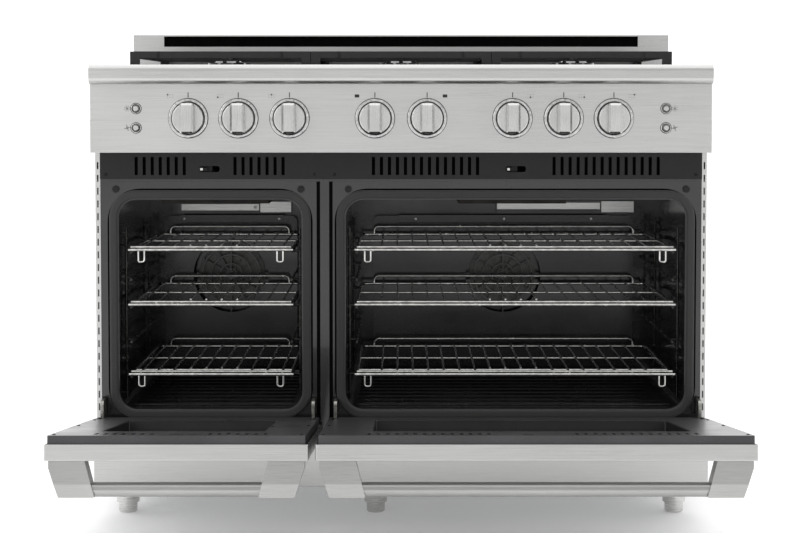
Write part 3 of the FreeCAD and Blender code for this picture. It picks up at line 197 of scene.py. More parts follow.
ovenEnamel = enamel("speckled_black_oven_enamel", ("#0c0c0d", "#151516"), (0.12, 0.24), 9, "#3c3c3e")
baffleEnamel = enamel("smooth_black_oven_enamel", ("#101011", "#1b1b1c"), (0.14, 0.26), 14, "#343436")
faceEnamel = enamel("black_face_enamel", ("#121213", "#1d1d1e"), (0.2, 0.32), 16, coat=0.45)
doorEnamel = enamel("satin_grey_door_enamel", ("#2f2f31", "#3a3a3c"), (0.26, 0.38), 8, "#464648")
trayEnamel = enamel("black_tray_enamel", ("#08080a", "#101012"), (0.08, 0.16), 12, coat=0.4)


def castIron():
    # sand cast and matt enamelled iron: a pitted skin a little smoother on the high spots
    finish, tree, surface = startFinish("enamelled_cast_iron", {"Specular IOR Level": 0.4})
    pits = noise(tree, patternPlace(tree, (1.6, 1.6, 1.6)), detail=6, rough=0.7)
    lumps = noise(tree, patternPlace(tree, (14, 14, 14)), detail=2)
    both = mixValues(tree, pits, lumps, 0.35)
    tree.links.new(tint(tree, both, "#0e0e0e", "#1d1d1c"), surface.inputs["Base Color"])
    tree.links.new(spread(tree, both, 0.62, 0.38), surface.inputs["Roughness"])
    raiseBy(tree, surface, both, 0.35, 0.6)
    return finish


def castAluminium():
    # die cast burner head: dull silver grain with darker heat marks
    finish, tree, surface = startFinish("die_cast_aluminium", {"Metallic": 1.0})
    grain = noise(tree, patternPlace(tree, (1.2, 1.2, 1.2)), detail=4)
    heat = noise(tree, patternPlace(tree, (22, 22, 22)), detail=2)
    both = mixValues(tree, grain, heat, 0.5)
    tree.links.new(tint(tree, both, "#5f5c58", "#a6a49f"), surface.inputs["Base Color"])
    tree.links.new(spread(tree, both, 0.35, 0.6), surface.inputs["Roughness"])
    raiseBy(tree, surface, grain, 0.12, 0.5)
    return finish


def powderCoat():
    # baked black powder coat: fine even texture, soft highlights
    finish, tree, surface = startFinish("black_powder_coat", {"Specular IOR Level": 0.32})
    grit = noise(tree, patternPlace(tree, (1.1, 1.1, 1.1)), detail=3)
    clouds = noise(tree, patternPlace(tree, (90, 90, 90)), detail=2)
    tree.links.new(tint(tree, clouds, "#070707", "#0f0f0f"), surface.inputs["Base Color"])
    tree.links.new(spread(tree, grit, 0.26, 0.4), surface.inputs["Roughness"])
    raiseBy(tree, surface, grit, 0.05, 0.4)
    return finish


def wovenGasket():
    # knitted glass fibre rope: slanting stitches about 3 mm long, dull charcoal
    finish, tree, surface = startFinish("knitted_glass_fibre", {"Roughness": 0.75, "Sheen Weight": 0.25})
    place = patternPlace(tree, (3.2, 3.2, 3.2))
    settings = {"wave_type": "BANDS", "bands_direction": "DIAGONAL", "Scale": 0.5, "Distortion": 1.5}
    stitches = addNode(tree, "ShaderNodeTexWave", settings, {"Vector": place}).outputs["Fac"]
    fuzz = noise(tree, place, detail=4)
    both = mixValues(tree, stitches, fuzz, 0.4)
    tree.links.new(tint(tree, both, "#101010", "#2e2e2d"), surface.inputs["Base Color"])
    raiseBy(tree, surface, both, 0.5, 0.7)
    return finish


def tintedGlass():
    # dark coated oven glass: nearly black, sharp reflections, faint roller wave
    shader = {"Base Color": linearColour("#0a0b0c"), "Roughness": 0.04, "IOR": 1.52,
              "Transmission Weight": 0.35, "Coat Weight": 0.2, "Coat Roughness": 0.03}
    finish, tree, surface = startFinish("dark_tempered_glass", shader)
    wave = noise(tree, patternPlace(tree, (80, 240, 80)), detail=1)
    raiseBy(tree, surface, wave, 0.04, 0.2)
    return finish


def zincSheet():
    # hot dip galvanised sheet: spangles 8 to 20 mm across, each at its own tilt
    finish, tree, surface = startFinish("galvanised_sheet", {"Metallic": 1.0})
    place = patternPlace(tree, (13, 13, 13))
    spangle = addNode(tree, "ShaderNodeTexVoronoi", {"Scale": 1.0}, {"Vector": place})
    tone = addNode(tree, "ShaderNodeRGBToBW", {}, {"Color": spangle.outputs["Color"]}).outputs["Val"]
    dirt = noise(tree, patternPlace(tree, (70, 70, 70)), detail=3)
    both = mixValues(tree, tone, dirt, 0.4)
    tree.links.new(tint(tree, both, "#8e9092", "#adafb0", 0.2, 0.8), surface.inputs["Base Color"])
    tree.links.new(spread(tree, both, 0.3, 0.5, 0.2, 0.8), surface.inputs["Roughness"])
    raiseBy(tree, surface, dirt, 0.05, 0.3)
    return finish


def mouldedPlastic(name, colours, roughness, shine=0.5):
    # injection moulded: spark eroded texture, slight gloss differences
    finish, tree, surface = startFinish(name, {"Specular IOR Level": shine})
    grit = noise(tree, patternPlace(tree, (0.9, 0.9, 0.9)), detail=3)
    clouds = noise(tree, patternPlace(tree, (25, 25, 25)), detail=2)
    tree.links.new(tint(tree, clouds, *colours), surface.inputs["Base Color"])
    tree.links.new(spread(tree, grit, *roughness), surface.inputs["Roughness"])
    raiseBy(tree, surface, grit, 0.04, 0.3)
    return finish


grateIron = castIron()
burnerAlloy = castAluminium()
trimCoat = powderCoat()
gasketKnit = wovenGasket()
ovenGlass = tintedGlass()
zincPlate = zincSheet()
blackNylon = mouldedPlastic("moulded_black_nylon", ("#121212", "#1e1e1e"), (0.4, 0.55))
printedInk = mouldedPlastic("screen_printed_black_ink", ("#0e0e0e", "#1a1a1a"), (0.5, 0.65))
paleInk = mouldedPlastic("screen_printed_grey_ink", ("#6c6c6c", "#7c7c7c"), (0.5, 0.65))
whiteCeramic = mouldedPlastic("glazed_igniter_ceramic", ("#d9d6cd", "#efece4"), (0.15, 0.3))
blackSilicone = mouldedPlastic("black_silicone_bead", ("#0c0c0c", "#161616"), (0.35, 0.5))
# black rubber of the bumper caps, also used for the painted shadow line outside each bezel
rubberAndShadowBlack = mouldedPlastic("bumper_rubber_and_shadow_black", ("#040404", "#0a0a0a"), (0.3, 0.45), 0.3)
# painted shade: a dead black for the strips and sheets put where shade falls on the front, vents and flue
shadeBlack = mouldedPlastic("painted_shade_black", ("#020202", "#060606"), (0.85, 0.95), 0.05)
print("finishes made")

sides = ("left", "right")
finishOf = {
    "front_rail": brushedStainless, "control_panel": brushedStainless, "cooktop_deck": brushedStainless,
    "backguard": brushedStainless, "kick_panel": brushedStainless, "side_panel_left": brushedStainless,
    "side_panel_right": brushedStainless, "rear_panel": zincPlate, "base_pan": zincPlate,
    "leveling_feet": turnedSteel, "vent_trim": trimCoat, "oven_face_frames": faceEnamel,
    "oven_gaskets": gasketKnit, "fan_baffles": baffleEnamel, "electrical_parts": blackNylon,
    "oven_burners": tubeSteel, "rack_guides": guideWire, "burner_heads": burnerAlloy,
    "burner_caps": trayEnamel, "gas_manifold": pipeSteel, "knob_bezels": polishedBezel,
    "hinge_arms": hingeSteel, "spill_tray": trayEnamel,
}
for side in sides:
    finishOf[f"oven_liner_{side}"] = ovenEnamel
    finishOf[f"door_skin_{side}"] = brushedStainless
    finishOf[f"door_liner_{side}"] = doorEnamel
    finishOf[f"door_glass_{side}"] = ovenGlass
    finishOf[f"door_handle_{side}"] = brushedBarSteel
    finishOf[f"door_hinge_{side}"] = hingeSteel
    finishOf[f"door_latch_{side}"] = blackScrew
    finishOf[f"convection_fan_{side}"] = fanSteel
for name in nodes:
    if name.startswith("knob_") and name != "knob_bezels":
        finishOf[name] = brushedKnobSteel
    elif name.startswith("button_"):
        finishOf[name] = brushedKnobSteel
    elif name.startswith("rack_") and name != "rack_guides":
        finishOf[name] = nickelWire
    elif name.startswith("grate_"):
        finishOf[name] = grateIron
for name, piece in nodes.items():
    piece.data.materials.clear()
    piece.data.materials.append(finishOf[name])
print("CAD pieces finished")


# piece making
def link(name, mesh, body, finish):
    piece = bpy.data.objects.new(name, mesh)
    scene.collection.objects.link(piece)
    mesh.materials.clear()
    mesh.materials.append(finish)
    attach(piece, body)
    return piece


def shellMesh(name, shells, place=None):
    # each shell is a list of rings of points, joined one to the next and closed at both ends
    work = bmesh.new()
    for rings in shells:
        loops = [[work.verts.new(point) for point in ring] for ring in rings]
        for lower, upper in zip(loops, loops[1:]):
            for index, corner in enumerate(lower):
                after = (index + 1) % len(lower)
                work.faces.new((corner, lower[after], upper[after], upper[index]))
        work.faces.new(reversed(loops[0]))
        work.faces.new(loops[-1])
    bmesh.ops.recalc_face_normals(work, faces=work.faces)
    if place:
        work.transform(place)
    mesh = bpy.data.meshes.new(name)
    work.to_mesh(mesh)
    work.free()
    return mesh


def addPiece(name, body, finish, shells, place=None, roundMm=0.0):
    mesh = shellMesh(name, shells, place)
    if not roundMm:
        return link(name, mesh, body, finish)
    # the edge rounding is applied before the piece is handed over
    rough = bpy.data.objects.new(f"{name}_rough", mesh)
    scene.collection.objects.link(rough)
    edge = rough.modifiers.new("edge", "BEVEL")
    edge.width, edge.segments, edge.limit_method = roundMm * mm, 2, "ANGLE"
    made = bpy.data.meshes.new_from_object(rough.evaluated_get(bpy.context.evaluated_depsgraph_get()))
    bpy.data.objects.remove(rough)
    return link(name, made, body, finish)


def alongX(section, start, end):
    return [[Vector((x, y, z)) for y, z in section] for x in (start, end)]


def plate(lowX, highX, lowZ, highZ, frontY, backY):
    return alongX([(frontY, lowZ), (backY, lowZ), (backY, highZ), (frontY, highZ)], lowX, highX)


def circlePoints(radius, height, count=16, start=0.0):
    return [Vector((radius * math.cos(start + 2 * math.pi * step / count),
                    radius * math.sin(start + 2 * math.pi * step / count), height)) for step in range(count)]


def makeRepeatTree():
    tree = bpy.data.node_groups.new("repeat_on_points", "GeometryNodeTree")
    for label, kind in (("Geometry", "NodeSocketGeometry"), ("Part", "NodeSocketObject"),
                        ("Turn", "NodeSocketVector"), ("Loose Angle", "NodeSocketFloat"),
                        ("Seed", "NodeSocketInt"), ("Finish", "NodeSocketMaterial")):
        tree.interface.new_socket(label, in_out="INPUT", socket_type=kind)
    tree.interface.new_socket("Geometry", in_out="OUTPUT", socket_type="NodeSocketGeometry")
    given = addNode(tree, "NodeGroupInput").outputs
    part = addNode(tree, "GeometryNodeObjectInfo", {}, {"Object": given["Part"]}).outputs["Geometry"]
    turn = addNode(tree, "FunctionNodeEulerToRotation", {}, {0: given["Turn"]}).outputs[0]
    copies = addNode(tree, "GeometryNodeInstanceOnPoints", {},
                     {"Points": given["Geometry"], "Instance": part, "Rotation": turn}).outputs["Instances"]
    angle = addNode(tree, "FunctionNodeRandomValue", {"data_type": "FLOAT", 2: 0.0},
                    {3: given["Loose Angle"], "Seed": given["Seed"]}).outputs[1]
    spin = addNode(tree, "ShaderNodeCombineXYZ", {}, {"Z": angle}).outputs[0]
    spun = addNode(tree, "GeometryNodeRotateInstances", {"Local Space": True},
                   {"Instances": copies, "Rotation": spin}).outputs[0]
    solid = addNode(tree, "GeometryNodeRealizeInstances", {}, {"Geometry": spun}).outputs[0]
    done = addNode(tree, "GeometryNodeSetMaterial", {}, {"Geometry": solid, "Material": given["Finish"]})
    addNode(tree, "NodeGroupOutput", {}, {"Geometry": done.outputs[0]})
    return tree


repeatTree = makeRepeatTree()


def repeatPart(name, body, finish, partMesh, spots, turn=(0, 0, 0), looseAngle=0.0, seed=7, place=None):
    # one copy of a part at every spot, turned at random by up to the loose angle about its own axis
    part = bpy.data.objects.new(f"{name}_part", partMesh)
    scene.collection.objects.link(part)
    points = bpy.data.meshes.new(f"{name}_points")
    points.from_pydata([tuple(spot) for spot in spots], [], [])
    carrier = bpy.data.objects.new(f"{name}_carrier", points)
    scene.collection.objects.link(carrier)
    repeat = carrier.modifiers.new("repeat", "NODES")
    repeat.node_group = repeatTree
    values = {"Part": part, "Turn": turn, "Loose Angle": looseAngle, "Seed": seed, "Finish": finish}
    for socket in repeatTree.interface.items_tree:
        if socket.in_out == "INPUT" and socket.name in values:
            repeat[socket.identifier] = values[socket.name]
    bpy.context.view_layer.update()
    made = bpy.data.meshes.new_from_object(carrier.evaluated_get(bpy.context.evaluated_depsgraph_get()))
    bpy.data.objects.remove(carrier)
    bpy.data.objects.remove(part)
    if place:
        made.transform(place)
    return link(name, made, body, finish)


def screwMesh(name, radiusMm, heightMm):
    # a low domed head about +z with a cross recess
    radius, height = radiusMm * mm, heightMm * mm

    def cross(depth):
        # every fourth point reaches out, which makes a plus sign
        reaches = [0.52 if step % 4 == 0 else 0.2 for step in range(16)]
        return [Vector((point.x * reach, point.y * reach, depth))
                for point, reach in zip(circlePoints(radius, 0), reaches)]

    dome = ((1.0, 0.0), (1.0, 0.3), (0.9, 0.72), (0.68, 0.95))
    rings = [circlePoints(radius * share, height * rise) for share, rise in dome]
    return shellMesh(name, [rings + [cross(height), cross(height * 0.45)]])


faceForward = (math.pi / 2, 0, 0)
faceBack = (-math.pi / 2, 0, 0)
anyTurn = 3.0  # radians, as far as a driven screw may stop past another


def span(node):
    # lowest and highest corner of a CAD piece
    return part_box(node)


# places taken from the CAD pieces
panelLow = span("control_panel")[0]
trimLow, trimHigh = span("vent_trim")
faceLow = span("oven_face_frames")[0]
rearLow, rearHigh = span("rear_panel")
liner = {side: span(f"oven_liner_{side}") for side in sides}
joints = {joint["name"]: joint for joint in frame["joints"]}
knobSpot = {name[:-5]: Vector(joint["pos_m"]) for name, joint in joints.items() if name.endswith("_turn")}


# printed marks over the knobs and beside the buttons
marks = {
    "thickMm": 0.12,
    "sunkMm": 0.05,
    "tickWideMm": 1.8,
    "tickHighMm": 10,
    "tickGapMm": 40.5,
    "dotMm": 3.0,
    "faintMm": 1.5,
    "dotPitchMm": 5.0,
    "gridOutMm": 35,
    "gridUpMm": 43.5,
}
burnerOrder = {"rear_left_burner": (0, 1), "front_left_burner": (0, 0), "rear_centre_burner": (1, 1),
               "front_centre_burner": (1, 0), "front_right_burner": (2, 0), "rear_right_burner": (2, 1)}


def panelPatch(middleX, middleZ, wideMm, highMm):
    half, tall = wideMm * mm / 2, highMm * mm / 2
    front, back = panelLow.y - marks["thickMm"] * mm, panelLow.y + marks["sunkMm"] * mm
    return plate(middleX - half, middleX + half, middleZ - tall, middleZ + tall, front, back)


darkMarks, paleMarks = [], []
for name, spot in knobSpot.items():
    darkMarks.append(panelPatch(spot.x, spot.z + (marks["tickGapMm"] + marks["tickHighMm"] / 2) * mm,
                                marks["tickWideMm"], marks["tickHighMm"]))
    outward = -1 if spot.x < 0 else 1
    gridX = spot.x + outward * marks["gridOutMm"] * mm
    gridZ = spot.z + marks["gridUpMm"] * mm
    if name in burnerOrder:
        for column in range(3):
            for row in range(2):
                chosen = (column, row) == burnerOrder[name]
                wide = marks["dotMm"] if chosen else marks["faintMm"]
                mark = panelPatch(gridX + (column - 1) * marks["dotPitchMm"] * mm,
                                  gridZ + (row - 0.5) * marks["dotPitchMm"] * mm, wide, wide)
                (darkMarks if chosen else paleMarks).append(mark)
    else:
        darkMarks.append(panelPatch(gridX, gridZ, marks["dotMm"] * 3, marks["dotMm"] * 2))
addPiece("panel_marks_dark", "casing", printedInk, darkMarks)
addPiece("panel_marks_pale", "casing", paleInk, paleMarks)

# a small lamp sign and fan sign outboard of the buttons: eight short rays round a dot, and four blades
signs = {
    "outMm": 17,
    "dotMm": 4.4,
    "firstAngle": 0.3,
    "lamp": {"rays": 8, "nearMm": 3.6, "farMm": 6.4, "wideMm": 1.12},
    "fan": {"rays": 4, "nearMm": 1.44, "farMm": 6.4, "wideMm": 1.6},
}


def flatRay(middleX, middleZ, angle, nearMm, farMm, wideMm):
    direction = Vector((math.cos(angle), 0, math.sin(angle)))
    sideways = Vector((-math.sin(angle), 0, math.cos(angle))) * wideMm * mm / 2
    centre = Vector((middleX, 0, middleZ))
    near, far = centre + direction * nearMm * mm, centre + direction * farMm * mm
    rings = []
    for y in (panelLow.y - marks["thickMm"] * mm, panelLow.y + marks["sunkMm"] * mm):
        rings.append([point + Vector((0, y, 0)) for point in
                      (near - sideways, far - sideways, far + sideways, near + sideways)])
    return rings


signMarks = []
for name in joints:
    if not name.endswith("_press"):
        continue
    low, high = span(f"button_{name[:-6]}")
    middle = (low + high) / 2
    x = middle.x + (-1 if middle.x < 0 else 1) * signs["outMm"] * mm
    sign = signs["lamp" if "lamp" in name else "fan"]
    for step in range(sign["rays"]):
        angle = 2 * math.pi * step / sign["rays"] + signs["firstAngle"]
        signMarks.append(flatRay(x, middle.z, angle, sign["nearMm"], sign["farMm"], sign["wideMm"]))
    signMarks.append(panelPatch(x, middle.z, signs["dotMm"], signs["dotMm"]))
addPiece("button_signs", "casing", paleInk, signMarks)
print("panel marks printed")

# screws of the vent trim: one at each end and one each side of the split between the ovens
trim = {"screwRadiusMm": 3.2, "screwHeightMm": 1.6, "inMm": 12, "upMm": 9, "splitX": -0.152, "besideMm": 20}
trimX = [trimLow.x + trim["inMm"] * mm, trimHigh.x - trim["inMm"] * mm,
         trim["splitX"] - trim["besideMm"] * mm, trim["splitX"] + trim["besideMm"] * mm]
repeatPart("trim_screws", "casing", blackScrew,
           screwMesh("trim_screw", trim["screwRadiusMm"], trim["screwHeightMm"]),
           [(x, trimLow.y, trimLow.z + trim["upMm"] * mm) for x in trimX], faceForward, anyTurn)

# black parts of the front: painted shade in the grooves beside the mullion, a painted shadow line round each
# gasket and caps on the door bumpers
front = {"grooveInMm": 0.5, "grooveBackMm": 1.1, "lineWideMm": 3.6, "lineProudMm": 0.5, "cornerMm": 62,
         "capSpareMm": 0.4, "capProudMm": 0.4, "capDishMm": 0.1}


def cornerBox(lowX, highX, lowZ, highZ, radius, y, steps=10):
    points = []
    for middleX, middleZ, start in ((highX - radius, lowZ + radius, -90), (highX - radius, highZ - radius, 0),
                                    (lowX + radius, highZ - radius, 90), (lowX + radius, lowZ + radius, 180)):
        for step in range(steps + 1):
            angle = math.radians(start + 90 * step / steps)
            points.append(Vector((middleX + radius * math.cos(angle), y, middleZ + radius * math.sin(angle))))
    return points


def loopMesh(name, loops):
    # loops of equal count, each joined to the next and the last to the first
    work = bmesh.new()
    made = [[work.verts.new(point) for point in loop] for loop in loops]
    for lower, upper in zip(made, made[1:] + made[:1]):
        for index, corner in enumerate(lower):
            after = (index + 1) % len(lower)
            work.faces.new((corner, lower[after], upper[after], upper[index]))
    bmesh.ops.recalc_face_normals(work, faces=work.faces)
    mesh = bpy.data.meshes.new(name)
    work.to_mesh(mesh)
    work.free()
    return mesh


def partsOf(node, frontOnly=False):
    # the boxes of a CAD piece's separate solids, or of their front faces, largest first
    work = bmesh.new()
    work.from_mesh(nodes[node].data)
    if frontOnly:
        limit = span(node)[0].y + 0.1 * mm
        bmesh.ops.delete(work, geom=[spot for spot in work.verts if spot.co.y > limit], context="VERTS")
    bmesh.ops.remove_doubles(work, verts=work.verts, dist=1e-6)
    left, boxes = set(work.verts), []
    while left:
        reached, edge = set(), [left.pop()]
        while edge:
            spot = edge.pop()
            reached.add(spot)
            for joined in spot.link_edges:
                other = joined.other_vert(spot)
                if other in left:
                    left.discard(other)
                    edge.append(other)
        points = [spot.co for spot in reached]
        low = Vector([min(point[axis] for point in points) for axis in range(3)])
        high = Vector([max(point[axis] for point in points) for axis in range(3)])
        boxes.append((low, high))
    work.free()
    return sorted(boxes, key=lambda pair: -(pair[1] - pair[0]).length)


def widthOf(pair):
    return pair[1].x - pair[0].x


# the face plates are wider than the mullion and narrower than the frame behind them
frameParts = partsOf("oven_face_frames", True)
plates = [pair for pair in frameParts if 0.3 < widthOf(pair) < 0.9]
plates.sort(key=lambda pair: pair[0].x)
mullion = min(frameParts, key=widthOf)
# the black strips in the grooves are painted shade
grooveShades = []
for startX, endX in ((plates[0][1].x, mullion[0].x), (mullion[1].x, plates[1][0].x)):
    grooveShades.append(plate(startX, endX, plates[0][0].z, plates[0][1].z,
                         faceLow.y + front["grooveInMm"] * mm, faceLow.y + front["grooveBackMm"] * mm))
addPiece("mullion_grooves", "casing", shadeBlack, grooveShades)

gasketParts = partsOf("oven_gaskets")
# the black line round each gasket is a painted shadow
for side, (low, high) in zip(sides, sorted(gasketParts[:2], key=lambda pair: pair[0].x)):
    wide, radius = front["lineWideMm"] * mm, front["cornerMm"] * mm
    proud = high.y - front["lineProudMm"] * mm
    loops = []
    for grow, y in ((0, high.y), (wide, high.y), (wide * 0.7, proud), (0, proud)):
        loops.append(cornerBox(low.x - grow, high.x + grow, low.z - grow, high.z + grow, radius + grow, y))
    link(f"gasket_line_{side}", loopMesh("line", loops), "casing", shadeBlack)
for number, (low, high) in enumerate(gasketParts[2:]):
    middle = (low + high) / 2
    radius = (high.x - low.x) / 2 + front["capSpareMm"] * mm
    depth = high.y - low.y
    top, dish = depth + front["capProudMm"] * mm, depth + front["capDishMm"] * mm
    capShape = ((1.0, 0.0), (1.0, depth * 0.8), (0.86, top), (0.5, top), (0.42, dish))
    rings = [circlePoints(radius * share, rise, 24) for share, rise in capShape]
    turned = Matrix.Translation((middle.x, high.y, middle.z)) @ Matrix.Rotation(math.pi / 2, 4, "X")
    addPiece(f"bumper_cap_{number}", "casing", rubberAndShadowBlack, [rings], turned)

# painted shade: dark sheets behind the vents, left open behind each latch
ventShade = {"gapMm": 3, "thickMm": 0.5, "upMm": 2, "downMm": 4, "latchMm": 40,
         "reachMm": {"left": 165, "right": 292}}
ventShades = []
for side in sides:
    middleX = (liner[side][0].x + liner[side][1].x) / 2
    reach, latchSpace = ventShade["reachMm"][side] * mm, ventShade["latchMm"] * mm
    ventShadeY = trimHigh.y + ventShade["gapMm"] * mm
    for startX, endX in ((middleX - reach, middleX - latchSpace), (middleX + latchSpace, middleX + reach)):
        ventShades.append(plate(startX, endX, trimLow.z + ventShade["upMm"] * mm, trimHigh.z - ventShade["downMm"] * mm,
                            ventShadeY, ventShadeY + ventShade["thickMm"] * mm))
addPiece("vent_gauzes", "casing", shadeBlack, ventShades)

# worn bright end of each latch's hook
hookEnd = {"fromMm": 8.4, "toMm": 13.5, "halfMm": 2.2, "proudMm": 0.2, "backMm": 0.5}
for side in sides:
    low, high = span(f"door_latch_{side}")
    midZ, half = (low.z + high.z) / 2, hookEnd["halfMm"] * mm
    worn = plate(low.x + hookEnd["fromMm"] * mm, low.x + hookEnd["toMm"] * mm, midZ - half, midZ + half,
                 low.y - hookEnd["proudMm"] * mm, low.y + hookEnd["backMm"] * mm)
    addPiece(f"latch_end_{side}", f"{side}_latch", nickelWire, [worn])

# painted shade: a black ring inside each bezel, in the groove round the knob, and a fine painted shadow line
# outside it:
# how far they lie in from the bezel's edge, and how far they stand out of the panel
bezelShadeLines = {
    "knobLeastRadiusMm": 20,
    "knobShadeRing": ((7.5, 4.9), (0, 1.2)),
    "buttonShadeRing": ((3.4, 1.6), (1.6, 2.15)),
    "gap": ((0.2, -1.1), (-0.1, 0.15)),
}


def squareRing(middle, radius, inMm, outMm):
    loops = []
    corners = ((0, 0), (1, 0), (1, 1), (0, 1))
    for inward, outward in ((inMm[first], outMm[second]) for first, second in corners):
        points = circlePoints(radius - inward * mm, 0, 48)
        y = panelLow.y - outward * mm
        loops.append([Vector((middle.x + point.x, y, middle.z + point.y)) for point in points])
    return loops


bezels = sorted(partsOf("knob_bezels"), key=lambda pair: (pair[0].x, pair[0].z))
for number, (low, high) in enumerate(bezels):
    middle, radius = (low + high) / 2, (high.x - low.x) / 2
    kind = "knobShadeRing" if radius > bezelShadeLines["knobLeastRadiusMm"] * mm else "buttonShadeRing"
    shadeRing = loopMesh("shadeRing", squareRing(middle, radius, *bezelShadeLines[kind]))
    link(f"knob_seal_{number}", shadeRing, "casing", shadeBlack)
    # the dark line outside the bezel is a painted shadow
    gap = loopMesh("gap", squareRing(middle, radius, *bezelShadeLines["gap"]))
    link(f"bezel_gap_{number}", gap, "casing", rubberAndShadowBlack)
print("front trimmed")

# pressed floor of each oven: a tray with raised beads across, lying on the liner
ovenFloor = {"sideGapMm": 24, "frontMm": 14, "backGapMm": 34, "thickMm": 1.2, "beadPitchMm": 46,
             "beadMm": 9, "beadHighMm": 2.2, "lipMm": 9, "raiseMm": 1.6, "linerWallMm": 1.5}
for side in sides:
    low, high = liner[side]
    start = low.y + ovenFloor["frontMm"] * mm
    end = high.y - ovenFloor["backGapMm"] * mm
    base = low.z + (ovenFloor["linerWallMm"] + ovenFloor["raiseMm"]) * mm
    line = [(start, base)]
    step = start + ovenFloor["beadPitchMm"] * mm / 2
    bead, rise = ovenFloor["beadMm"] * mm, ovenFloor["beadHighMm"] * mm
    while step + bead < end:
        line += [(step, base), (step + bead * 0.25, base + rise)]
        line += [(step + bead * 0.75, base + rise), (step + bead, base)]
        step += ovenFloor["beadPitchMm"] * mm
    thick = ovenFloor["thickMm"] * mm
    lipTop = base + ovenFloor["lipMm"] * mm
    line += [(end, base), (end + thick, lipTop)]
    # the underside follows the top, and the lip at the back is as thick
    section = line + [(end + 2 * thick, lipTop)] + [(y, z - thick) for y, z in reversed(line[:-1])]
    gap = ovenFloor["sideGapMm"] * mm
    addPiece(f"oven_floor_{side}", "casing", ovenEnamel,
             [alongX(section, low.x + gap, high.x - gap)])

# lamp strips and the baffles' top lips on each oven's back wall
wallTrim = {"stripBackMm": 6, "stripThickMm": 2.2, "stripEdgeMm": 1, "stripRoundMm": 0.4, "lipZ": 0.585,
            "lipProudMm": 2.4, "lipFallMm": 15, "lipToeMm": 16, "lipUnderMm": 0.5, "lipTopMm": 1.9,
            "lipBackMm": 6, "lipRoundMm": 0.3, "screwRadiusMm": 3.0, "screwHeightMm": 1.8}
# strips from left to right and bottom to top, the lip's two ends and the screws
backWall = {
    "left": {
        "strips": [(-0.491, -0.317, 0.5955, 0.6125), (-0.315, -0.2455, 0.5915, 0.6175)],
        "lip": (-0.491, -0.262),
        "screws": [(-0.484, 0.5785), (-0.272, 0.5785), (-0.326, 0.604)],
    },
    "right": {
        "strips": [(0.2145, 0.445, 0.5985, 0.6155), (0.448, 0.5205, 0.5915, 0.6185)],
        "lip": (-0.006, 0.465),
        "screws": [(0.033, 0.5785), (0.4246, 0.5785), (0.2300, 0.5785)],
    },
}
baffleLow = span("fan_baffles")[0]
stripBack = baffleLow.y + wallTrim["stripBackMm"] * mm
stripFace = stripBack - wallTrim["stripThickMm"] * mm
edge = wallTrim["stripEdgeMm"] * mm
lipFace, lipBack = baffleLow.y - wallTrim["lipProudMm"] * mm, baffleLow.y + wallTrim["lipBackMm"] * mm
lipUnder, lipTop = (wallTrim["lipZ"] + wallTrim[name] * mm for name in ("lipUnderMm", "lipTopMm"))
lipShape = [(lipFace, wallTrim["lipZ"] - wallTrim["lipFallMm"] * mm),
            (baffleLow.y, wallTrim["lipZ"] - wallTrim["lipToeMm"] * mm),
            (baffleLow.y, lipUnder), (lipBack, lipUnder), (lipBack, lipTop), (lipFace, lipTop)]
for side in sides:
    wallSet = backWall[side]
    shells = []
    for startX, endX, lowZ, highZ in wallSet["strips"]:
        section = [(stripBack, lowZ), (stripFace, lowZ + edge), (stripFace, highZ - edge), (stripBack, highZ)]
        shells.append(alongX(section, startX, endX))
    addPiece(f"lamp_strips_{side}", "casing", lampStrip, shells,
             roundMm=wallTrim["stripRoundMm"])
    addPiece(f"baffle_lip_{side}", "casing", baffleEnamel, [alongX(lipShape, *wallSet["lip"])],
             roundMm=wallTrim["lipRoundMm"])
    repeatPart(f"baffle_screws_{side}", "casing", brightScrew,
               screwMesh("baffle_screw", wallTrim["screwRadiusMm"], wallTrim["screwHeightMm"]),
               [(x, lipFace, z) for x, z in wallSet["screws"]], faceForward, anyTurn)
print("oven insides fitted")

# burner ports and igniters; a port runs from low on the head's cone to high, as height and reach
burner = {"baseRadiusMm": 52, "portCount": 28, "portWideMm": 1.6, "portDeepMm": 1.5, "portProudMm": 0.12,
          "portEndsMm": ((13.0, 38.35), (19.0, 37.0)), "igniterOutMm": 46, "igniterUpMm": 5,
          "igniterDeg": 205}
# radius and height of each step of the ceramic post and of its wire tip
postShape = ((3.6, 0), (3.6, 6), (2.6, 7), (2.4, 15), (1.6, 16.5))
tipShape = ((0.7, 16), (0.7, 20), (0.3, 20.6))
headLow, headHigh = span("burner_heads")
baseRadius = burner["baseRadiusMm"] * mm
columns = [headLow.x + baseRadius, 0.0, headHigh.x - baseRadius]
rows = [headLow.y + baseRadius, headHigh.y - baseRadius]
burners = [Vector((x, y, headLow.z)) for x in columns for y in rows]
portRings = []
for middle in burners:
    for step in range(burner["portCount"]):
        angle = 2 * math.pi * step / burner["portCount"]
        out = Vector((math.cos(angle), math.sin(angle), 0))
        aside = Vector((-out.y, out.x, 0)) * burner["portWideMm"] * mm / 2
        rings = []
        for height, reach in burner["portEndsMm"]:
            spot = middle + Vector((0, 0, height * mm))
            inner = spot + out * (reach - burner["portDeepMm"]) * mm
            outer = spot + out * (reach + burner["portProudMm"]) * mm
            rings.append([inner - aside, outer - aside, outer + aside, inner + aside])
        portRings.append(rings)
addPiece("burner_ports", "casing", blackNylon, portRings)
post = shellMesh("igniter", [[circlePoints(radius * mm, height * mm) for radius, height in postShape]])
tip = shellMesh("igniter_tip", [[circlePoints(radius * mm, height * mm, 8) for radius, height in tipShape]])
around = math.radians(burner["igniterDeg"])
aside = Vector((math.cos(around), math.sin(around), 0)) * burner["igniterOutMm"] * mm
igniterSpots = [middle + aside + Vector((0, 0, burner["igniterUpMm"] * mm)) for middle in burners]
repeatPart("igniter_posts", "casing", whiteCeramic, post, igniterSpots)
repeatPart("igniter_tips", "casing", brightScrew, tip, igniterSpots)
print("burners fitted")

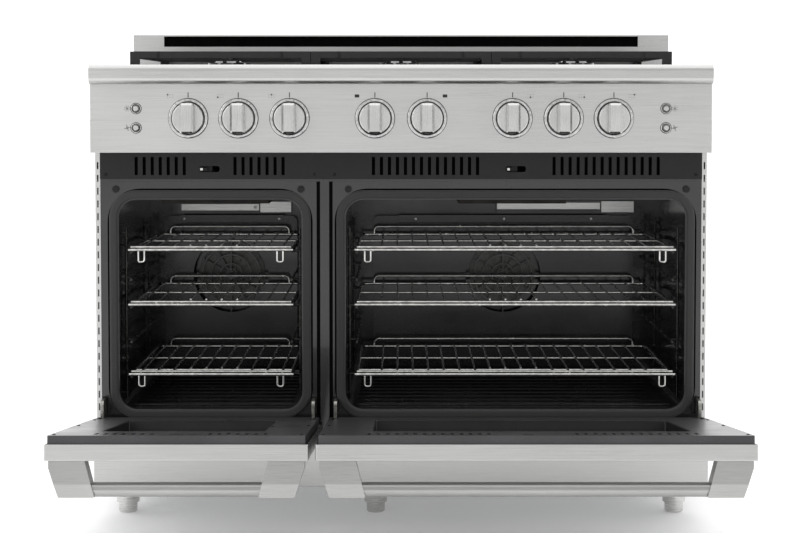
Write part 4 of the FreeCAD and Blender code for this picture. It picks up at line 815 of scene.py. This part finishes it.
# doors: screws on the liner and a bead round the glass, made as if shut and swung down with the door
door = {"beadMm": 1.6, "beadUnderMm": 0.4, "beadSlopeMm": 1, "glassLapMm": 12, "screwInMm": 8,
        "screwRadiusMm": 3.0, "screwHeightMm": 1.5, "screwDownMm": 22, "screwUpMm": 95}
for side in sides:
    joint = joints[f"{side}_door_hinge"]
    pivot = Vector(joint["pos_m"])
    opening = math.radians(-joint["range_deg"][0])
    swing = Matrix.Translation(pivot) @ Matrix.Rotation(opening, 4, "X") @ Matrix.Translation(-pivot)
    unswing = swing.inverted()
    corners = {}
    for node in ("door_liner", "door_glass"):
        points = [unswing @ vertex.co for vertex in nodes[f"{node}_{side}"].data.vertices]
        corners[node] = [(min(p[axis] for p in points), max(p[axis] for p in points)) for axis in range(3)]
    (linerLeft, linerRight), (_, linerBack), (linerBottom, linerTop) = corners["door_liner"]
    (glassLeft, glassRight), (_, glassBack), (glassBottom, glassTop) = corners["door_glass"]
    lap = door["glassLapMm"] * mm
    left, right, bottom, top = glassLeft + lap, glassRight - lap, glassBottom + lap, glassTop - lap
    bead, rim = door["beadMm"] * mm, linerBack - door["beadUnderMm"] * mm
    inner = [(left + bead, bottom + bead), (right - bead, bottom + bead), (right - bead, top - bead),
             (left + bead, top - bead)]
    outer = [(left, bottom), (right, bottom), (right, top), (left, top)]
    rails = []
    for index in range(4):
        after = (index + 1) % 4
        rings = []
        for (outX, outZ), (inX1, inZ1) in ((outer[index], inner[index]), (outer[after], inner[after])):
            rings.append([Vector((outX, glassBack, outZ)), Vector((inX1, glassBack, inZ1)),
                          Vector((inX1, rim - door["beadSlopeMm"] * mm, inZ1)), Vector((outX, rim, outZ))])
        rails.append(rings)
    addPiece(f"glass_bead_{side}", f"{side}_door", blackSilicone, rails, swing)
    inset = door["screwInMm"] * mm
    heights = (linerTop - door["screwDownMm"] * mm, (linerBottom + linerTop) / 2,
               linerBottom + door["screwUpMm"] * mm)
    spots = [(x, linerBack, z) for x in (linerLeft + inset, linerRight - inset) for z in heights]
    repeatPart(f"liner_screws_{side}", f"{side}_door", blackScrew,
               screwMesh("liner_screw", door["screwRadiusMm"], door["screwHeightMm"]),
               spots, faceBack, anyTurn, place=swing)
print("doors fitted")

# back: a row of screws round the panel, thread on the gas nipple and blades in the power inlet
rear = {"screwInMm": 9, "screwSunkMm": 1.2, "screwRadiusMm": 4.0, "screwHeightMm": 1.2, "acrossCount": 9,
        "upCount": 6, "threadPitchMm": 1.8}
inset = rear["screwInMm"] * mm
seatY = rearHigh.y - rear["screwSunkMm"] * mm
rearSpots = []
for step in range(rear["acrossCount"]):
    x = rearLow.x + inset + (rearHigh.x - rearLow.x - 2 * inset) * step / (rear["acrossCount"] - 1)
    rearSpots += [(x, seatY, rearLow.z + inset), (x, seatY, rearHigh.z - inset)]
for step in range(1, rear["upCount"]):
    z = rearLow.z + inset + (rearHigh.z - rearLow.z - 2 * inset) * step / rear["upCount"]
    rearSpots += [(rearLow.x + inset, seatY, z), (rearHigh.x - inset, seatY, z)]
repeatPart("rear_screws", "casing", brightScrew,
           screwMesh("rear_screw", rear["screwRadiusMm"], rear["screwHeightMm"]),
           rearSpots, faceBack, anyTurn)
nipple = next(mount for mount in frame["record"]["mounts"] if mount["name"] == "gas_inlet")
nippleRadius = nipple["dims"]["r_mm"] * mm
nippleLength = nipple["dims"]["length_mm"] * mm
count = int(nippleLength / (rear["threadPitchMm"] * mm)) - 1
# one crest of the thread: how far it stands off the nipple, and how far along
crestShape = ((-0.2, 0), (0.35, 0.6), (0.35, 0.9), (-0.2, 1.5))
crest = shellMesh("thread", [[circlePoints(nippleRadius + proud * mm, height * mm, 32)
                              for proud, height in crestShape]])
start = Vector(nipple["pos_m"]) - Vector((0, nippleLength / 2, 0))
threadSpots = [start + Vector((0, (step + 0.4) * rear["threadPitchMm"] * mm, 0)) for step in range(count)]
repeatPart("nipple_thread", "casing", pipeSteel, crest, threadSpots, faceBack)
inlet = {"x": -0.5, "z": 0.15, "halfWideMm": 0.8, "halfHighMm": 3, "endMm": 3, "rootMm": 12.5,
         "spotsMm": ((-7, -2), (0, 4), (7, -2))}
blades = []
for asideMm, upMm in inlet["spotsMm"]:
    x, z = inlet["x"] + asideMm * mm, inlet["z"] + upMm * mm
    halfX, halfZ = inlet["halfWideMm"] * mm, inlet["halfHighMm"] * mm
    blades.append(plate(x - halfX, x + halfX, z - halfZ, z + halfZ,
                        rearHigh.y - inlet["rootMm"] * mm, rearHigh.y - inlet["endMm"] * mm))
addPiece("inlet_blades", "casing", brassBlade, blades, roundMm=0.2)
print("back fitted")

# painted shade: a dark plate inside the flue
flue = {"sideMm": 4, "downMm": 31, "topMm": 3, "frontMm": 6, "thickMm": 1}
guardLow, guardHigh = span("backguard")
flueY = guardLow.y + flue["frontMm"] * mm
flueShadePlate = plate(guardLow.x + flue["sideMm"] * mm, guardHigh.x - flue["sideMm"] * mm,
                 guardHigh.z - flue["downMm"] * mm, guardHigh.z - flue["topMm"] * mm,
                 flueY, flueY + flue["thickMm"] * mm)
addPiece("flue_baffle", "casing", shadeBlack, [flueShadePlate])

# floor, light and camera
studio = {
    "floorHexes": ("#f0f0f0", "#f6f6f6"),
    "floorHalf": 60,
    "floorLevels": (-0.02, -0.0005),
    "worldHex": "#ffffff",
    "roomLight": 0.8,
    "tableLight": 0.2,
    "wallLight": 1.9,
    "cameraAway": 3.840,
    "cameraHigh": 0.857,
    "lensMm": 86.5,
    "pitchDeg": 2.9,
    "shiftX": -0.00125,
    "shiftY": -0.094,
    # place, aim, width and height, and watts
    "softboxes": {
        "key_softbox": ((-2.8, -3.0, 1.9), (-0.2, 0, 0.6), (1.4, 2.2), 38),
        "fill_softbox": ((3.0, -3.0, 1.6), (0.2, 0, 0.5), (1.2, 2.0), 15),
        "top_softbox": ((0, -0.8, 3.4), (0, -0.6, 0), (3.6, 3.0), 30),
    },
}
half = studio["floorHalf"]
floorCorners = ((-half, -half), (half, -half), (half, half), (-half, half))
floorRings = [[Vector((x, y, z)) for x, y in floorCorners] for z in studio["floorLevels"]]
floorMesh = shellMesh("floor", [floorRings])
floor = bpy.data.objects.new("floor", floorMesh)
scene.collection.objects.link(floor)
# translucent table, lit evenly from below
tableShader = {"Roughness": 0.9, "Emission Color": (1, 1, 1, 1), "Emission Strength": studio["tableLight"]}
floorPaint, floorTree, floorSurface = startFinish("pale_matt_floor", tableShader)
floorGrain = noise(floorTree, patternPlace(floorTree, (400, 400, 400)), detail=2)
floorTree.links.new(tint(floorTree, floorGrain, *studio["floorHexes"]), floorSurface.inputs["Base Color"])
floorMesh.materials.append(floorPaint)

world = bpy.data.worlds.new("studio")
scene.world = world
world.use_nodes = True
skyTree = world.node_tree
skyWay = addNode(skyTree, "ShaderNodeTexCoord").outputs["Generated"]
skyParts = addNode(skyTree, "ShaderNodeSeparateXYZ", {}, {"Vector": skyWay})
# bright behind the range, softer towards the room
skyTone = spread(skyTree, skyParts.outputs["Y"], studio["roomLight"], studio["wallLight"], 0.0, 0.6)
skyTree.links.new(skyTone, skyTree.nodes["Background"].inputs["Strength"])
skyTree.nodes["Background"].inputs["Color"].default_value = linearColour(studio["worldHex"])
scene.view_settings.view_transform = "Standard"


def softbox(name, place, target, size, power):
    light = bpy.data.lights.new(name, "AREA")
    light.shape, light.size, light.size_y, light.energy = "RECTANGLE", size[0], size[1], power
    holder = bpy.data.objects.new(name, light)
    scene.collection.objects.link(holder)
    holder.location = place
    holder.rotation_euler = (Vector(target) - Vector(place)).to_track_quat("-Z", "Y").to_euler()


for name, settings in studio["softboxes"].items():
    softbox(name, *settings)

cameraData = bpy.data.cameras.new("camera")
cameraData.sensor_width = 36
cameraData.lens = studio["lensMm"]
cameraData.shift_x = studio["shiftX"]
cameraData.shift_y = studio["shiftY"]
camera = bpy.data.objects.new("camera", cameraData)
scene.collection.objects.link(camera)
camera.location = (0, -studio["cameraAway"], studio["cameraHigh"])
camera.rotation_euler = Euler((math.radians(90 - studio["pitchDeg"]), 0, 0))
scene.camera = camera
print("studio set")
